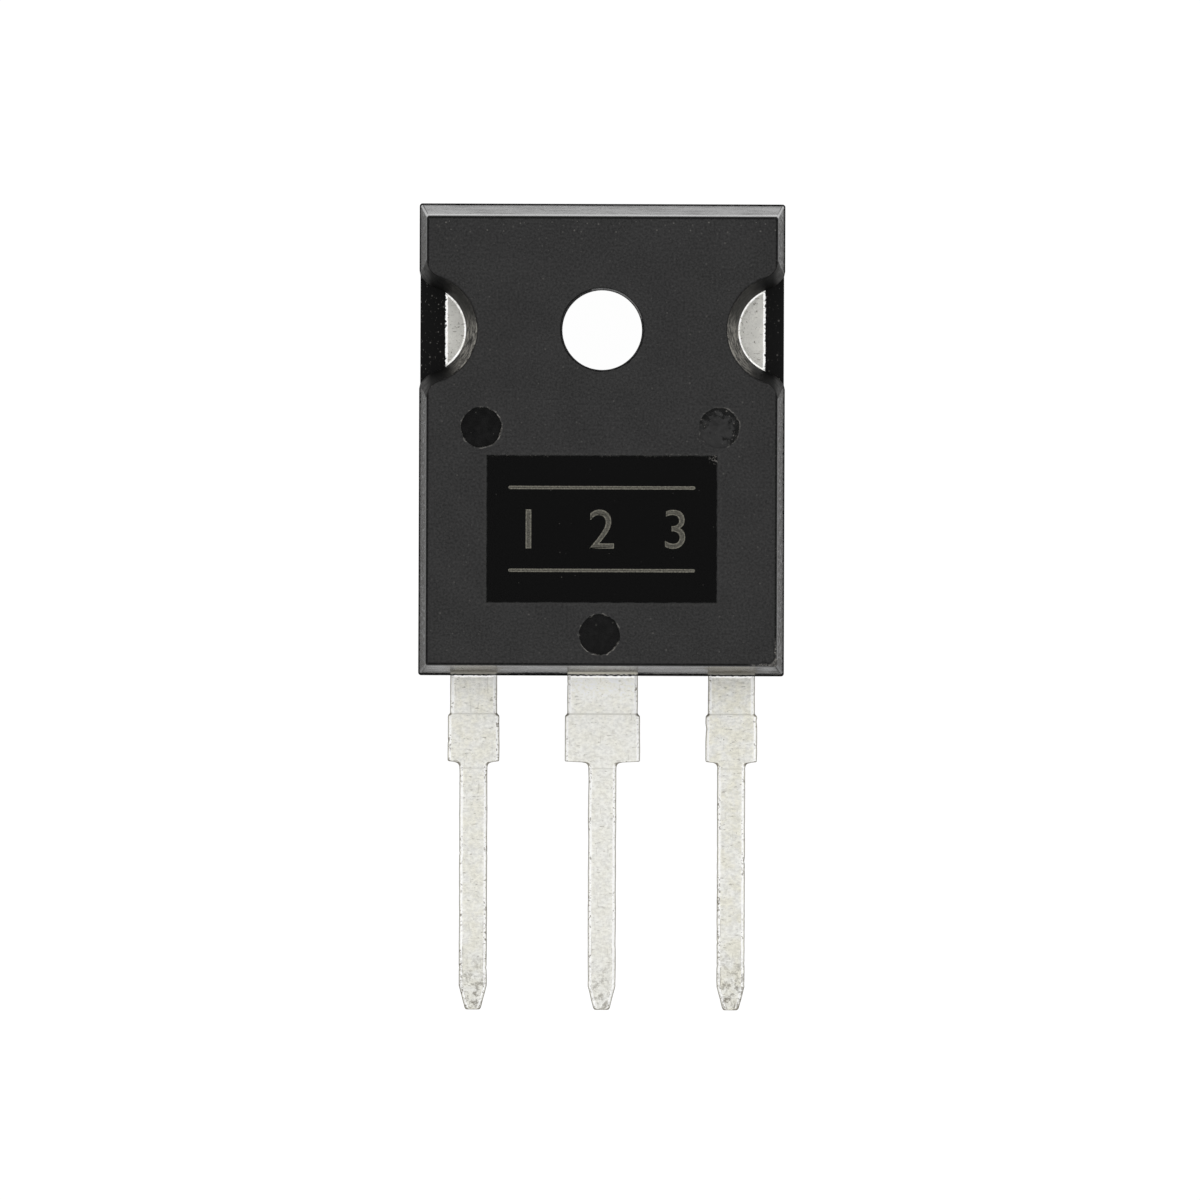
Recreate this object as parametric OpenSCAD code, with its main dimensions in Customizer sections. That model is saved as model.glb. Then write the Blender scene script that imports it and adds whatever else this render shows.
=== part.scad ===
// Power transistor in a flat moulded package with a screw hole, a metal back and three straight leads.
// The origin is the mounting hole's axis on the metal back. +X is to the right and +Y is towards the
// end with the hole, both seen from the front, and +Z points out of the front face.

/* [Moulded body] */
// Width of the body at the parting line
body_w = 15.5; // [15:0.1:17.5]
// Length of the body at the parting line
body_l = 20; // [19.5:0.1:24]
// Thickness of the body
body_t = 5; // [4.8:0.1:6.5]
// Distance from the mounting hole's axis to the body's top edge
hole_to_top = 5.35; // [5.2:0.05:6]
// Diameter of the mounting hole
hole_d = 3.5; // [2.6:0.1:4.2]
// How far the front face is set in from the parting line at each side
front_inset_side = 0.3; // [0.1:0.05:0.5]
// How far the front face is set in at the top end
front_inset_top = 0.55; // [0.1:0.05:0.7]
// How far the front face is set in at the lead end
front_inset_bottom = 0.42; // [0.1:0.01:0.7]
// How far the back is set in from the parting line all round
back_inset = 0.25; // [0.1:0.05:0.45]
// Width of the small flat on the four upright corners
corner_cut = 0.12; // [0.05:0.01:0.2]

/* [Side notches] */
// Distance of each notch's centre in from the side edge
notch_inset = 0.13; // [0:0.01:0.3]
// Radius of each notch at the front face
notch_front_r = 2.31; // [2.1:0.01:2.5]
// Radius of each notch at its floor
notch_floor_r = 1.85; // [1.6:0.01:2]
// Radius that blends each notch into the side edge at the front face
notch_blend_r = 0.85; // [0.6:0.05:1.1]

/* [Front face marks] */
// Width of the smooth marking field
field_w = 9.79; // [7:0.01:11]
// Length of the smooth marking field
field_l = 6.17; // [5:0.01:6.5]
// Distance from the body's lead end to the marking field
field_rise = 3.11; // [2.8:0.01:3.4]
// Depth of the marking field
field_depth = 0.04; // [0.02:0.01:0.1]
// Diameter of the round ejector marks
mark_d = 1.74; // [1:0.01:2]
// Depth of the left and the lower ejector mark
mark_depth = 0.12; // [0.05:0.01:0.2]
// Depth of the right ejector mark, which is nearly filled
faint_mark_depth = 0.05; // [0.02:0.01:0.2]
// Distance between the two upper ejector marks
mark_span = 10.06; // [8:0.01:11]
// Height of the two upper ejector marks above the marking field
mark_rise = 1.22; // [1.1:0.01:1.6]
// Distance from the body's lead end to the lower ejector mark
low_mark_rise = 1.75; // [1.5:0.01:1.9]

/* [Heat-sink plate] */
// Thickness of the plate
plate_t = 2; // [1.6:0.05:2.2]
// Width of plastic above the plate's top end
plate_top_cover = 0.95; // [0.6:0.05:1.1]
// Width of plastic beside the plate
plate_side_cover = 0.935; // [0.8:0.005:1.1]
// Radius of the plate's corners at its top end
plate_corner_r = 0.8; // [0.4:0.05:1.2]
// Diameter of the plate's hole, which is lined with plastic
plate_hole_d = 7.2; // [5.5:0.05:7.3]
// Depth of the V-shaped lock grooves in the plate
lock_groove = 0.2; // [0.1:0.05:0.3]
// How far the plate sits to the right of the leads' centre line
plate_shift = 0.07; // [0:0.01:0.15]

/* [Leads] */
// How far the whole metal frame sits to the right in the body
frame_shift = 0.07; // [0:0.01:0.15]
// Height of the leads' underside above the back, where the mould parts
lead_z = 2.4; // [2.3:0.05:2.6]
// Thickness of the leads
lead_t = 0.6; // [0.45:0.05:0.7]
// Distance between the leads' centre lines
lead_pitch = 5.46; // [5.08:0.01:5.56]
// Length of the leads outside the body
lead_l = 14.15; // [8:0.05:20]
// Width of each broken upper edge of a lead
edge_w = 0.15; // [0.05:0.01:0.2]
// Drop of each broken upper edge of a lead
edge_drop = 0.1; // [0.05:0.01:0.2]
// Length of lead between the body and the shoulder
root_l = 1.6; // [1:0.05:2]
// Width of the outer leads beside the body
outer_root_w = 1.98; // [1.7:0.01:2.3]
// Width of the centre lead beside the body
centre_root_w = 2.98; // [2.6:0.01:3.3]
// Length of the shoulders
shoulder_l = 2.03; // [1:0.01:3]
// How far a shoulder stands out at each side of the root
shoulder_step = 0.1; // [0.05:0.01:0.2]
// Size of the cut corners at a shoulder's upper end
shoulder_cut = 0.12; // [0.05:0.01:0.2]
// Width of the pins
pin_w = 1.18; // [1:0.01:1.4]
// Radius of the corner between shoulder and pin
pin_fillet_r = 0.22; // [0.1:0.01:0.25]
// Width of a pin's end
tip_w = 0.7; // [0.4:0.01:0.9]
// Length of a pin's tapered end
tip_l = 1; // [0.5:0.05:1.5]

/* [Bond posts] */
// How far the outer leads reach into the body
post_reach = 2.2; // [2:0.05:2.4]
// Length of an outer lead inside the body before it widens to its post
post_stub = 0.5; // [0.4:0.05:0.6]
// Gap between the posts and the heat-sink plate
post_gap = 0.55; // [0.4:0.05:0.8]
// Width of the gate post
gate_post_w = 2.9; // [2.5:0.05:3.2]
// Width of the source post
source_post_w = 4; // [3.8:0.05:4.3]
// Diameter of the lock hole in each post
post_hole_d = 0.7; // [0.4:0.05:0.8]
// Distance from a post's outer side to its lock hole's centre
post_hole_in = 0.6; // [0.55:0.01:0.65]
// Run of the centre lead's upward step along the lead
step_run = 1; // [0.8:0.05:1.1]

/* [Die] */
// Width of the silicon die
die_w = 7.4; // [6.6:0.1:8]
// Room on the plate between the die and the plate's hole, and between the die and the plate's lower end
die_end_room = 1.35; // [1.2:0.05:1.6]
// Thickness of the silicon die
die_t = 0.2; // [0.15:0.01:0.3]
// Thickness of the solder under the die
solder_t = 0.06; // [0.03:0.01:0.1]
// Width of solder that shows round the die
solder_margin = 0.14; // [0.05:0.01:0.2]

/* [Bond wires] */
// Number of source wires
source_wires = 3; // [1:1:3]
// Diameter of a source wire
source_wire_d = 0.5; // [0.3:0.01:0.55]
// Distance between the source wires on the die
die_bond_pitch = 1.3; // [1.1:0.05:1.4]
// Distance between the source wires on the post
post_bond_pitch = 1.05; // [0.9:0.01:1.1]
// Distance of the middle source wire to the right of the die's centre
source_bond_x = 0.6; // [0.2:0.05:0.8]
// Length of a source wire's bonded foot
source_foot_l = 1; // [0.8:0.05:1.1]
// Rise of the source wires' loops above the straight way between their feet
source_loop = 1.25; // [1:0.05:1.4]
// Diameter of the gate wire
gate_wire_d = 0.2; // [0.12:0.01:0.25]
// Distance of the gate bond in from the die's left and lower side
gate_bond_in = 0.9; // [0.7:0.05:1.2]
// Length of the gate wire's bonded foot
gate_foot_l = 0.5; // [0.4:0.05:0.6]
// Rise of the gate wire's loop above the straight way between its feet
gate_loop = 0.9; // [0.7:0.05:1.3]
// Height of a bonded foot as a share of its wire's diameter
foot_height = 0.45; // [0.3:0.05:0.6]
// Width of a bonded foot as a share of its wire's diameter
foot_width = 1.3; // [1.1:0.05:1.5]

/* [Hidden] */
wire_nodes = [for (i = [1:source_wires]) str("source_wire_", i)];
$fn = 48;

// Colours
epoxy = [0.13, 0.13, 0.13];
tin = [0.8, 0.8, 0.77];
silicon = [0.35, 0.37, 0.42];
solder = [0.6, 0.6, 0.6];
aluminium = [0.85, 0.86, 0.88];

// How far a cutting shape reaches past the surface that it cuts
past = 1;
// Overlap that keeps a rounded cutting shape from only touching its neighbour
blend_overlap = 0.002;
// Stretch of wire, counted in diameters, that is cut off level with the pads
wire_run_on = 1.6;

// Ends and sides of the body
top_y = hole_to_top;
bottom_y = hole_to_top - body_l;
side_x = body_w / 2;

// The heat-sink plate's place
plate_top_y = top_y - plate_top_cover;
plate_end_y = bottom_y + post_reach + post_gap;
plate_side_x = side_x - plate_side_cover;
plate_x = frame_shift + plate_shift;

// Heights
lead_top = lead_z + lead_t;
die_z = plate_t + solder_t;
die_top = die_z + die_t;

// The die's length and place, midway between the plate's hole and its lower end, and the groove above it
die_l = -plate_hole_d / 2 - plate_end_y - 2 * die_end_room;
die_y = (plate_end_y - plate_hole_d / 2) / 2;
groove_y = -(plate_hole_d + die_end_room) / 2;

// Ends of the lead's stretches, and the outer sides of the outer leads
shoulder_y = bottom_y - root_l;
pin_y = shoulder_y - shoulder_l;
tip_y = bottom_y - lead_l;
post_side_x = lead_pitch + outer_root_w / 2;

// Bond places on the posts
post_bond_y = bottom_y + (post_stub + post_reach) / 2;
post_hole_x = post_side_x - post_hole_in;
post_room_x = post_hole_x - post_hole_d / 2;
gate_post_bond = [frame_shift - (post_room_x + post_side_x - gate_post_w) / 2, post_bond_y];
gate_die_bond = [plate_x - die_w / 2 + gate_bond_in, die_y - die_l / 2 + gate_bond_in];

// Middle of the row of source wires, counted in wires
middle = (source_wires + 1) / 2;
source_row_x = frame_shift + (post_room_x + post_side_x - source_post_w) / 2;

function source_die_bond(i) = [plate_x + source_bond_x + (i - middle) * die_bond_pitch, die_y];
function source_post_bond(i) = [source_row_x + (i - middle) * post_bond_pitch, post_bond_y];

// The body without its openings: a front and a side profile with drafted walls, and cut corners
module body_block() {
    across = [
        [-side_x + back_inset, 0],
        [side_x - back_inset, 0],
        [side_x, lead_z],
        [side_x - front_inset_side, body_t],
        [-side_x + front_inset_side, body_t],
        [-side_x, lead_z]
    ];
    along = [
        [bottom_y + back_inset, 0],
        [top_y - back_inset, 0],
        [top_y, lead_z],
        [top_y - front_inset_top, body_t],
        [bottom_y + front_inset_bottom, body_t],
        [bottom_y, lead_z]
    ];
    plan = [
        [-side_x + corner_cut, top_y],
        [side_x - corner_cut, top_y],
        [side_x, top_y - corner_cut],
        [side_x, bottom_y + corner_cut],
        [side_x - corner_cut, bottom_y],
        [-side_x + corner_cut, bottom_y],
        [-side_x, bottom_y + corner_cut],
        [-side_x, top_y - corner_cut]
    ];
    intersection() {
        translate([0, top_y + past, 0])
            rotate([90, 0, 0]) linear_extrude(body_l + 2 * past) polygon(across);
        translate([-side_x - past, 0, 0])
            rotate([90, 0, 90]) linear_extrude(body_w + 2 * past) polygon(along);
        translate([0, 0, -past]) linear_extrude(body_t + 2 * past) polygon(plan);
    }
}

// The space of the notch at the right side, from the plate's level up, with its two blended edges
module notch_space() {
    centre_x = side_x - notch_inset;
    blend_x = side_x - front_inset_side - notch_blend_r + blend_overlap;
    reach = notch_front_r + notch_blend_r - blend_overlap;
    blend_y = sqrt(reach * reach - (centre_x - blend_x) * (centre_x - blend_x));
    slope = (notch_front_r - notch_floor_r) / (body_t - plate_t);
    outside_x = side_x + past;
    translate([centre_x, 0, plate_t])
        cylinder(h = body_t - plate_t + past, r1 = notch_floor_r, r2 = notch_front_r + slope * past);
    difference() {
        translate([0, 0, plate_t])
            linear_extrude(body_t - plate_t + past)
                polygon([
                    [centre_x, 0],
                    [blend_x, blend_y],
                    [outside_x, blend_y],
                    [outside_x, -blend_y],
                    [blend_x, -blend_y]
                ]);
        for (s = [-1, 1])
            translate([blend_x, s * blend_y, plate_t - past])
                cylinder(
                    h = body_t - plate_t + 3 * past,
                    r1 = notch_blend_r + slope * (body_t - plate_t + past),
                    r2 = notch_blend_r - slope * 2 * past
                );
    }
}

// One round ejector mark
module mark_space(x, y, depth) {
    translate([x, y, body_t - depth]) cylinder(h = depth + past, d = mark_d);
}

// The marking field and the three ejector marks
module face_marks() {
    field_top_y = bottom_y + field_rise + field_l;
    translate([-field_w / 2, bottom_y + field_rise, body_t - field_depth]) cube([field_w, field_l, past]);
    mark_space(-mark_span / 2, field_top_y + mark_rise, mark_depth);
    mark_space(mark_span / 2, field_top_y + mark_rise, faint_mark_depth);
    mark_space(0, bottom_y + low_mark_rise, mark_depth);
}

// The moulded body, with a fitting space for everything that is moulded in
module mold_body() {
    color(epoxy)
        difference() {
            body_block();
            translate([0, 0, -past]) cylinder(h = body_t + 2 * past, d = hole_d);
            notch_space();
            mirror([1, 0, 0]) notch_space();
            face_marks();
            drain_frame();
            gate_lead();
            source_lead();
            die_solder();
            silicon_die();
            gate_wire();
            for (i = [1:source_wires]) source_wire(i);
        }
}

// A bar along Y from y0 down to y1, with its two upper edges broken
module lead_bar(w, y0, y1) {
    translate([0, y0, 0])
        rotate([90, 0, 0])
            linear_extrude(y0 - y1)
                polygon([
                    [-w / 2, lead_z],
                    [w / 2, lead_z],
                    [w / 2, lead_top - edge_drop],
                    [w / 2 - edge_w, lead_top],
                    [-w / 2 + edge_w, lead_top],
                    [-w / 2, lead_top - edge_drop]
                ]);
}

// An outline that cuts a lead's plan, through more than its thickness
module lead_plan(outline) {
    translate([0, 0, lead_z - past]) linear_extrude(lead_t + 2 * past) polygon(outline);
}

// The part of a lead that is outside the body, with a stub that reaches into it
module outer_lead(root_w) {
    shoulder_w = root_w + 2 * shoulder_step;
    middle_y = (shoulder_y + pin_y) / 2;
    flare_y = tip_y + tip_l * (2 * pin_w - tip_w) / (pin_w - tip_w);
    lead_bar(root_w, bottom_y + post_stub + edge_w, middle_y);
    intersection() {
        lead_bar(shoulder_w, shoulder_y + past, pin_y);
        lead_plan([
            [-shoulder_w / 2 - past, pin_y - past],
            [shoulder_w / 2 + past, pin_y - past],
            [shoulder_w / 2 + past, shoulder_y - shoulder_cut - past],
            [shoulder_w / 2 - shoulder_cut, shoulder_y],
            [-shoulder_w / 2 + shoulder_cut, shoulder_y],
            [-shoulder_w / 2 - past, shoulder_y - shoulder_cut - past]
        ]);
    }
    intersection() {
        lead_bar(pin_w, middle_y, tip_y - past);
        lead_plan([
            [-tip_w / 2, tip_y],
            [tip_w / 2, tip_y],
            [pin_w, flare_y],
            [pin_w, shoulder_y],
            [-pin_w, shoulder_y],
            [-pin_w, flare_y]
        ]);
    }
    for (s = [-1, 1])
        translate([0, 0, lead_z])
            linear_extrude(lead_t - edge_drop)
                difference() {
                    translate([s * (pin_w + pin_fillet_r) / 2, pin_y - pin_fillet_r / 2])
                        square(pin_fillet_r, center = true);
                    translate([s * (pin_w / 2 + pin_fillet_r), pin_y - pin_fillet_r]) circle(pin_fillet_r);
                }
}

// A bond post: a flat plate of the lead's thickness from x0 to x1, with a round lock hole
module bond_post(x0, x1, hole_x) {
    difference() {
        translate([x0, bottom_y + post_stub, lead_z]) cube([x1 - x0, post_reach - post_stub, lead_t]);
        translate([hole_x, post_bond_y, lead_z - past]) cylinder(h = lead_t + 2 * past, d = post_hole_d);
    }
}

// The left lead
module gate_lead() {
    color(tin)
        translate([frame_shift, 0, 0]) {
            translate([-lead_pitch, 0, 0]) outer_lead(outer_root_w);
            bond_post(-post_side_x, gate_post_w - post_side_x, -post_hole_x);
        }
}

// The right lead
module source_lead() {
    color(tin)
        translate([frame_shift, 0, 0]) {
            translate([lead_pitch, 0, 0]) outer_lead(outer_root_w);
            bond_post(post_side_x - source_post_w, post_side_x, post_hole_x);
        }
}

// The heat-sink plate, with rounded top corners, the lined hole and the lock grooves
module plate() {
    difference() {
        linear_extrude(plate_t)
            difference() {
                union() {
                    translate([-plate_side_x, plate_end_y])
                        square([2 * plate_side_x, plate_top_y - plate_corner_r - plate_end_y]);
                    translate([plate_corner_r - plate_side_x, plate_end_y])
                        square([2 * (plate_side_x - plate_corner_r), plate_top_y - plate_end_y]);
                    for (s = [-1, 1])
                        translate([s * (plate_side_x - plate_corner_r), plate_top_y - plate_corner_r])
                            circle(plate_corner_r);
                }
                translate([-plate_x, 0]) circle(d = plate_hole_d);
            }
        for (s = [-1, 1])
            translate([s * plate_side_x, plate_end_y - past, plate_t / 2])
                rotate([-90, 0, 0])
                    linear_extrude(plate_top_y - plate_end_y + 2 * past)
                        polygon([
                            [-s * lock_groove, 0],
                            [s * past, lock_groove + past],
                            [s * past, -lock_groove - past]
                        ]);
        translate([-side_x, groove_y, plate_t])
            rotate([90, 0, 90])
                linear_extrude(body_w)
                    polygon([[0, -lock_groove], [lock_groove + past, past], [-lock_groove - past, past]]);
    }
}

// The stretch of the centre lead that steps up from the plate to the leads' level
module centre_step() {
    low_z = plate_t - lead_t;
    rise = lead_z - low_z;
    start_y = plate_end_y - lead_t / 2;
    end_y = start_y - step_run;
    lean = lead_t * tan(atan2(rise, step_run) / 2);
    into_y = plate_end_y + lead_t;
    out_y = bottom_y + post_stub;
    translate([-centre_root_w / 2, 0, 0])
        rotate([90, 0, 90])
            linear_extrude(centre_root_w)
                polygon([
                    [into_y, low_z],
                    [start_y, low_z],
                    [end_y, lead_z],
                    [out_y, lead_z],
                    [out_y, lead_top],
                    [end_y + lean, lead_top],
                    [start_y + lean, plate_t],
                    [into_y, plate_t]
                ]);
}

// The heat-sink plate and the centre lead, stamped from one strip
module drain_frame() {
    color(tin) {
        translate([plate_x, 0, 0]) plate();
        translate([frame_shift, 0, 0]) {
            centre_step();
            outer_lead(centre_root_w);
        }
    }
}

// The solder between plate and die
module die_solder() {
    solder_w = die_w + 2 * solder_margin;
    solder_l = die_l + 2 * solder_margin;
    color(solder)
        translate([plate_x - solder_w / 2, die_y - solder_l / 2, plate_t])
            cube([solder_w, solder_l, solder_t]);
}

// The transistor chip
module silicon_die() {
    color(silicon)
        translate([plate_x - die_w / 2, die_y - die_l / 2, die_z]) cube([die_w, die_l, die_t]);
}

// A bond wire from place a on the die to place b on a post: an arch in an upright plane, drawn here with
// x along the wire and y up, and a flattened foot at each end
module bond_wire(a, b, d, foot_l, rise) {
    span = norm(b - a);
    foot_h = foot_height * d;
    foot_w = foot_width * d;
    from = [0, die_top + foot_h / 2];
    to = [span, lead_top + foot_h / 2];
    chord = norm(to - from);
    loop_r = (chord * chord / 4 + rise * rise) / (2 * rise);
    centre = (from + to) / 2 + (loop_r - rise) / chord * [to.y - from.y, from.x - to.x];
    run_on = wire_run_on * d / loop_r * 180 / PI;
    first = atan2(to.y - centre.y, to.x - centre.x) - run_on;
    last = atan2(from.y - centre.y, from.x - centre.x) + run_on;
    translate([a.x, a.y, 0])
        rotate([90, 0, atan2(b.y - a.y, b.x - a.x)]) {
            difference() {
                translate([centre.x, centre.y, 0])
                    rotate([0, 0, first])
                        rotate_extrude(angle = last - first) translate([loop_r, 0]) circle(d = d);
                translate([-past, die_top - past, -past]) cube([past + span / 2, past, 2 * past]);
                translate([span / 2, lead_top - past, -past]) cube([past + span / 2, past, 2 * past]);
            }
            translate([-foot_l / 2, die_top, -foot_w / 2]) cube([foot_l, foot_h, foot_w]);
            translate([span - foot_l / 2, lead_top, -foot_w / 2]) cube([foot_l, foot_h, foot_w]);
        }
}

// The thin wire to the gate post
module gate_wire() {
    color(aluminium) bond_wire(gate_die_bond, gate_post_bond, gate_wire_d, gate_foot_l, gate_loop);
}

// One of the thick wires to the source post, counted from the left
module source_wire(i) {
    color(aluminium)
        bond_wire(source_die_bond(i), source_post_bond(i), source_wire_d, source_foot_l, source_loop);
}

mold_body();
drain_frame();
gate_lead();
source_lead();
silicon_die();
die_solder();
gate_wire();
for (i = [1:source_wires]) source_wire(i);
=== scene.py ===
"""The finished look of the power transistor, modelled round its packed parts."""

import math

import bmesh
import bpy
from bpy.props import FloatProperty, FloatVectorProperty, PointerProperty
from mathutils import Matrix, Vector, noise


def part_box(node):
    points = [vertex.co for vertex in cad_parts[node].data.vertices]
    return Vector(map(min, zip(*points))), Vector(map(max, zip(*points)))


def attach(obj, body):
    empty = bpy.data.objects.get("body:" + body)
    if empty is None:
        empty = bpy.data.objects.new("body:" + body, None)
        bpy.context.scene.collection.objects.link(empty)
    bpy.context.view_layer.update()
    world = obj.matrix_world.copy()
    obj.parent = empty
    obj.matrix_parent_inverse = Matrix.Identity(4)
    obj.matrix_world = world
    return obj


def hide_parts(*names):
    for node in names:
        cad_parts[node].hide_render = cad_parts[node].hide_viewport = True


bl_info = {
    "name": "Power transistor",
    "version": (1, 0, 0),
    "blender": (4, 5, 0),
    "location": "3D View > Sidebar > Transistor",
    "description": "Models the finished look of a three-lead power transistor round its packed parts",
    "category": "Object",
}

MM = 0.001
BODY = "root"

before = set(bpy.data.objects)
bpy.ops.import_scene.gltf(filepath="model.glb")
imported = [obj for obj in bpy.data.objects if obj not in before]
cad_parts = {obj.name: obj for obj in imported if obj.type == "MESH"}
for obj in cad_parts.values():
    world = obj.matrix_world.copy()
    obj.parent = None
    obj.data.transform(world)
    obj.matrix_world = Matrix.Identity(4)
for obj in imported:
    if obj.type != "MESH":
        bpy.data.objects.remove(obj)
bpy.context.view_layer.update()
body_low, body_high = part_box("mold_body")
plate_low, plate_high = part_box("drain_frame")
lead_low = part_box("gate_lead")[0]


def length(name, description, millimetres):
    """A size that is set in the sidebar."""
    return FloatProperty(
        name=name, description=description, default=millimetres * MM, min=0, unit="LENGTH", precision=6
    )


def share(name, description, default):
    """A number from 0 to 1 that is set in the sidebar."""
    return FloatProperty(name=name, description=description, default=default, min=0, max=1, subtype="FACTOR")


def colour(name, description, default):
    """A colour that is set in the sidebar."""
    return FloatVectorProperty(
        name=name, description=description, default=default, size=3, min=0, max=1, subtype="COLOR"
    )


class BodySizes(bpy.types.PropertyGroup):
    """Sizes of the moulded body."""

    parting: length("Parting line", "Height at which the mould parts", 2.4)
    inset_side: length("Side inset", "How far the front face is set in at each side", 0.3)
    inset_top: length("Top inset", "How far the front face is set in at the hole end", 0.55)
    inset_bottom: length("Lead end inset", "How far the front face is set in at the lead end", 0.42)
    inset_back: length("Back inset", "How far the back is set in all round", 0.25)
    seam: length("Seam", "How far the front half stands in from the back half where they part", 0.05)
    seam_height: length("Seam height", "Height of the small slope at the parting line", 0.02)
    seam_foot: length("Lead end seam", "How much wider that slope is at the lead end", 0.03)
    corner_round: length("Corner round", "Width of the rounded upright corners", 0.12)
    edge_round: length("Edge round", "Width of the rounded edges of the front face", 0.05)
    hole: length("Hole", "Diameter of the mounting hole", 3.5)
    gloss_start: length("Hole gloss", "Height above which the hole's wall is glossy at the upper right", 3.4)
    hole_draft: length("Hole draft", "How much nearer the hole's wall is at the parting line", 0.065)
    notch_inset: length("Notch inset", "Distance of each notch's centre in from the side", 0.13)
    notch_front: length("Notch front radius", "Radius of each notch at the front face", 2.31)
    notch_floor: length("Notch floor radius", "Radius of each notch at its floor", 1.85)
    notch_blend: length("Notch blend radius", "Radius that blends each notch into the side", 0.85)
    notch_level: length("Notch floor height", "Height of the notches' floor, level with the plate", 2.0)


class MarkSizes(bpy.types.PropertyGroup):
    """Sizes of the marking field, of the ejector marks and of the worn corner."""

    field_width: length("Field width", "Width of the smooth marking field", 9.79)
    field_length: length("Field length", "Length of the smooth marking field", 6.27)
    field_rise: length("Field rise", "Distance from the lead end to the marking field", 3.075)
    field_depth: length("Field depth", "Depth of the marking field", 0.04)
    mark: length("Ejector mark", "Diameter of the round ejector marks", 1.72)
    mark_shift: length("Mark shift", "How far the ejector marks sit to the left", 0.07)
    field_shift: length("Field shift", "How far the marking field sits to the right", 0.012)
    mark_depth: length("Mark depth", "Depth of the left and the lower ejector mark", 0.12)
    faint_depth: length("Faint mark depth", "Depth of the right ejector mark", 0.05)
    mark_span: length("Mark span", "Distance between the two upper ejector marks", 10.06)
    mark_rise: length("Mark rise", "Height of the upper ejector marks above the field", 1.155)
    low_mark_rise: length("Low mark rise", "Distance from the lead end to the lower ejector mark", 1.75)
    mark_fray: length("Mark fray", "How ragged the rims of the ejector marks are", 0.034)
    chip: length("Chip", "Size of the worn corner at the lower right", 0.95)
    chip_depth: length("Chip depth", "Depth of the worn corner", 0.12)
    chip_round: length("Worn bend", "Radius of the bend in the worn edge round that corner", 0.4)
    numeral: length("Numeral height", "Height of the etched pin numbers", 1.65)
    numeral_pitch: length("Numeral pitch", "Distance between the etched pin numbers", 3.1)
    rule_width: length("Rule width", "Width of the etched lines over and under the numbers", 0.14)
    rule_length: length("Rule length", "Length of the etched lines", 7.9)
    rule_gap: length("Rule distance", "Distance of the etched lines from the field's middle", 1.75)
    etch_height: length("Etch height", "How far the etched numbers stand above the field", 0.006)
    etch_rim: length("Etch rim", "Width of the paler rim of the etched strokes", 0.05)


class LeadSizes(bpy.types.PropertyGroup):
    """Sizes of the leads outside the body."""

    shift: length("Frame shift", "How far the metal frame sits to the right", 0.07)
    pitch: length("Pitch", "Distance between the leads' centre lines", 5.46)
    root_length: length("Root length", "Length of lead between body and shoulder", 1.6)
    outer_root: length("Outer root width", "Width of the outer leads beside the body", 1.98)
    centre_root: length("Centre root width", "Width of the centre lead beside the body", 2.98)
    shoulder_length: length("Shoulder length", "Length of the shoulders", 2.03)
    shoulder_step: length("Shoulder step", "How far a shoulder stands out at each side", 0.1)
    pin: length("Pin width", "Width of the pins", 1.18)
    pin_fillet: length("Pin fillet", "Radius of the corner between shoulder and pin", 0.22)
    tip: length("Tip width", "Width of a pin's end", 0.6)
    tip_length: length("Tip length", "Length of a pin's tapered end", 1.0)
    kept: length("Kept root", "Length of the packed lead that is kept outside the body", 0.12)
    station: length("Station", "Distance between the stations along a lead", 0.11)
    wear: length("Edge wear", "How far the sheared edges waver", 0.012)
    nick: length("Nick", "Depth of the nicks in the sheared edges", 0.035)
    edge_round: length("Edge round", "Width of the rounded metal edges", 0.045)


class FinishColours(bpy.types.PropertyGroup):
    """Colours of the finishes."""

    epoxy: colour("Epoxy", "Matte face of the moulded body", (0.0155, 0.0153, 0.0153))
    polished: colour("Polished epoxy", "Smooth marking field and ejector marks", (0.0025, 0.0025, 0.0025))
    # This pale colour also paints the highlights (glints) on the ejector marks' rims.
    filler_and_glint: colour("Filler", "Pale filler that shows where the epoxy is scuffed", (0.21, 0.2, 0.185))
    etch: colour("Etching", "Etched numbers on the marking field", (0.13, 0.124, 0.102))
    tin: colour("Tin", "Tin plating of the leads", (0.915, 0.912, 0.872))
    plate_tin: colour("Plate tin", "Tin plating of the heat-sink plate", (0.965, 0.955, 0.9))
    # This colour also paints the shade on the leads' steep sides and ends.
    stain_and_shade: colour("Stain", "Dull stains and dirt on the tin", (0.21, 0.19, 0.155))
    solder: colour("Solder", "Solder under the chip", (0.42, 0.42, 0.41))
    silicon: colour("Silicon", "Polished silicon of the chip", (0.12, 0.13, 0.16))
    aluminium: colour("Aluminium", "Bond wires", (0.8, 0.8, 0.82))


class StageSettings(bpy.types.PropertyGroup):
    """Camera, floor and light."""

    camera_height: FloatProperty(
        name="Camera height", description="Height of the camera above the floor", default=1.0, unit="LENGTH"
    )
    view_width: length("View width", "Width that the picture covers at the front face", 50.73)
    view_x: FloatProperty(
        name="View centre X", description="Middle of the picture across", default=-0.053 * MM, precision=6
    )
    view_y: FloatProperty(
        name="View centre Y", description="Middle of the picture along", default=-11.437 * MM, precision=6
    )
    roll: FloatProperty(
        name="Roll",
        description="Turn of the camera about its view",
        default=math.radians(0.2),
        subtype="ANGLE",
    )
    floor_size: FloatProperty(
        name="Floor size", description="Width of the floor", default=1.6, min=0.1, unit="LENGTH"
    )
    light: FloatProperty(name="Light", description="Brightness of the surroundings", default=1.0, min=0)
    dark_spot: share("Dark overhead", "Brightness straight overhead, where the camera stands", 0.04)


def deselect_everything():
    """Leaves edit mode and selects nothing, the packed parts included."""
    if bpy.context.object and bpy.context.object.mode != "OBJECT":
        bpy.ops.object.mode_set(mode="OBJECT")
    bpy.ops.object.select_all(action="DESELECT")


def make_active(piece):
    """Makes one piece the only selected one."""
    deselect_everything()
    piece.hide_set(False)
    piece.select_set(True)
    bpy.context.view_layer.objects.active = piece


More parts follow.
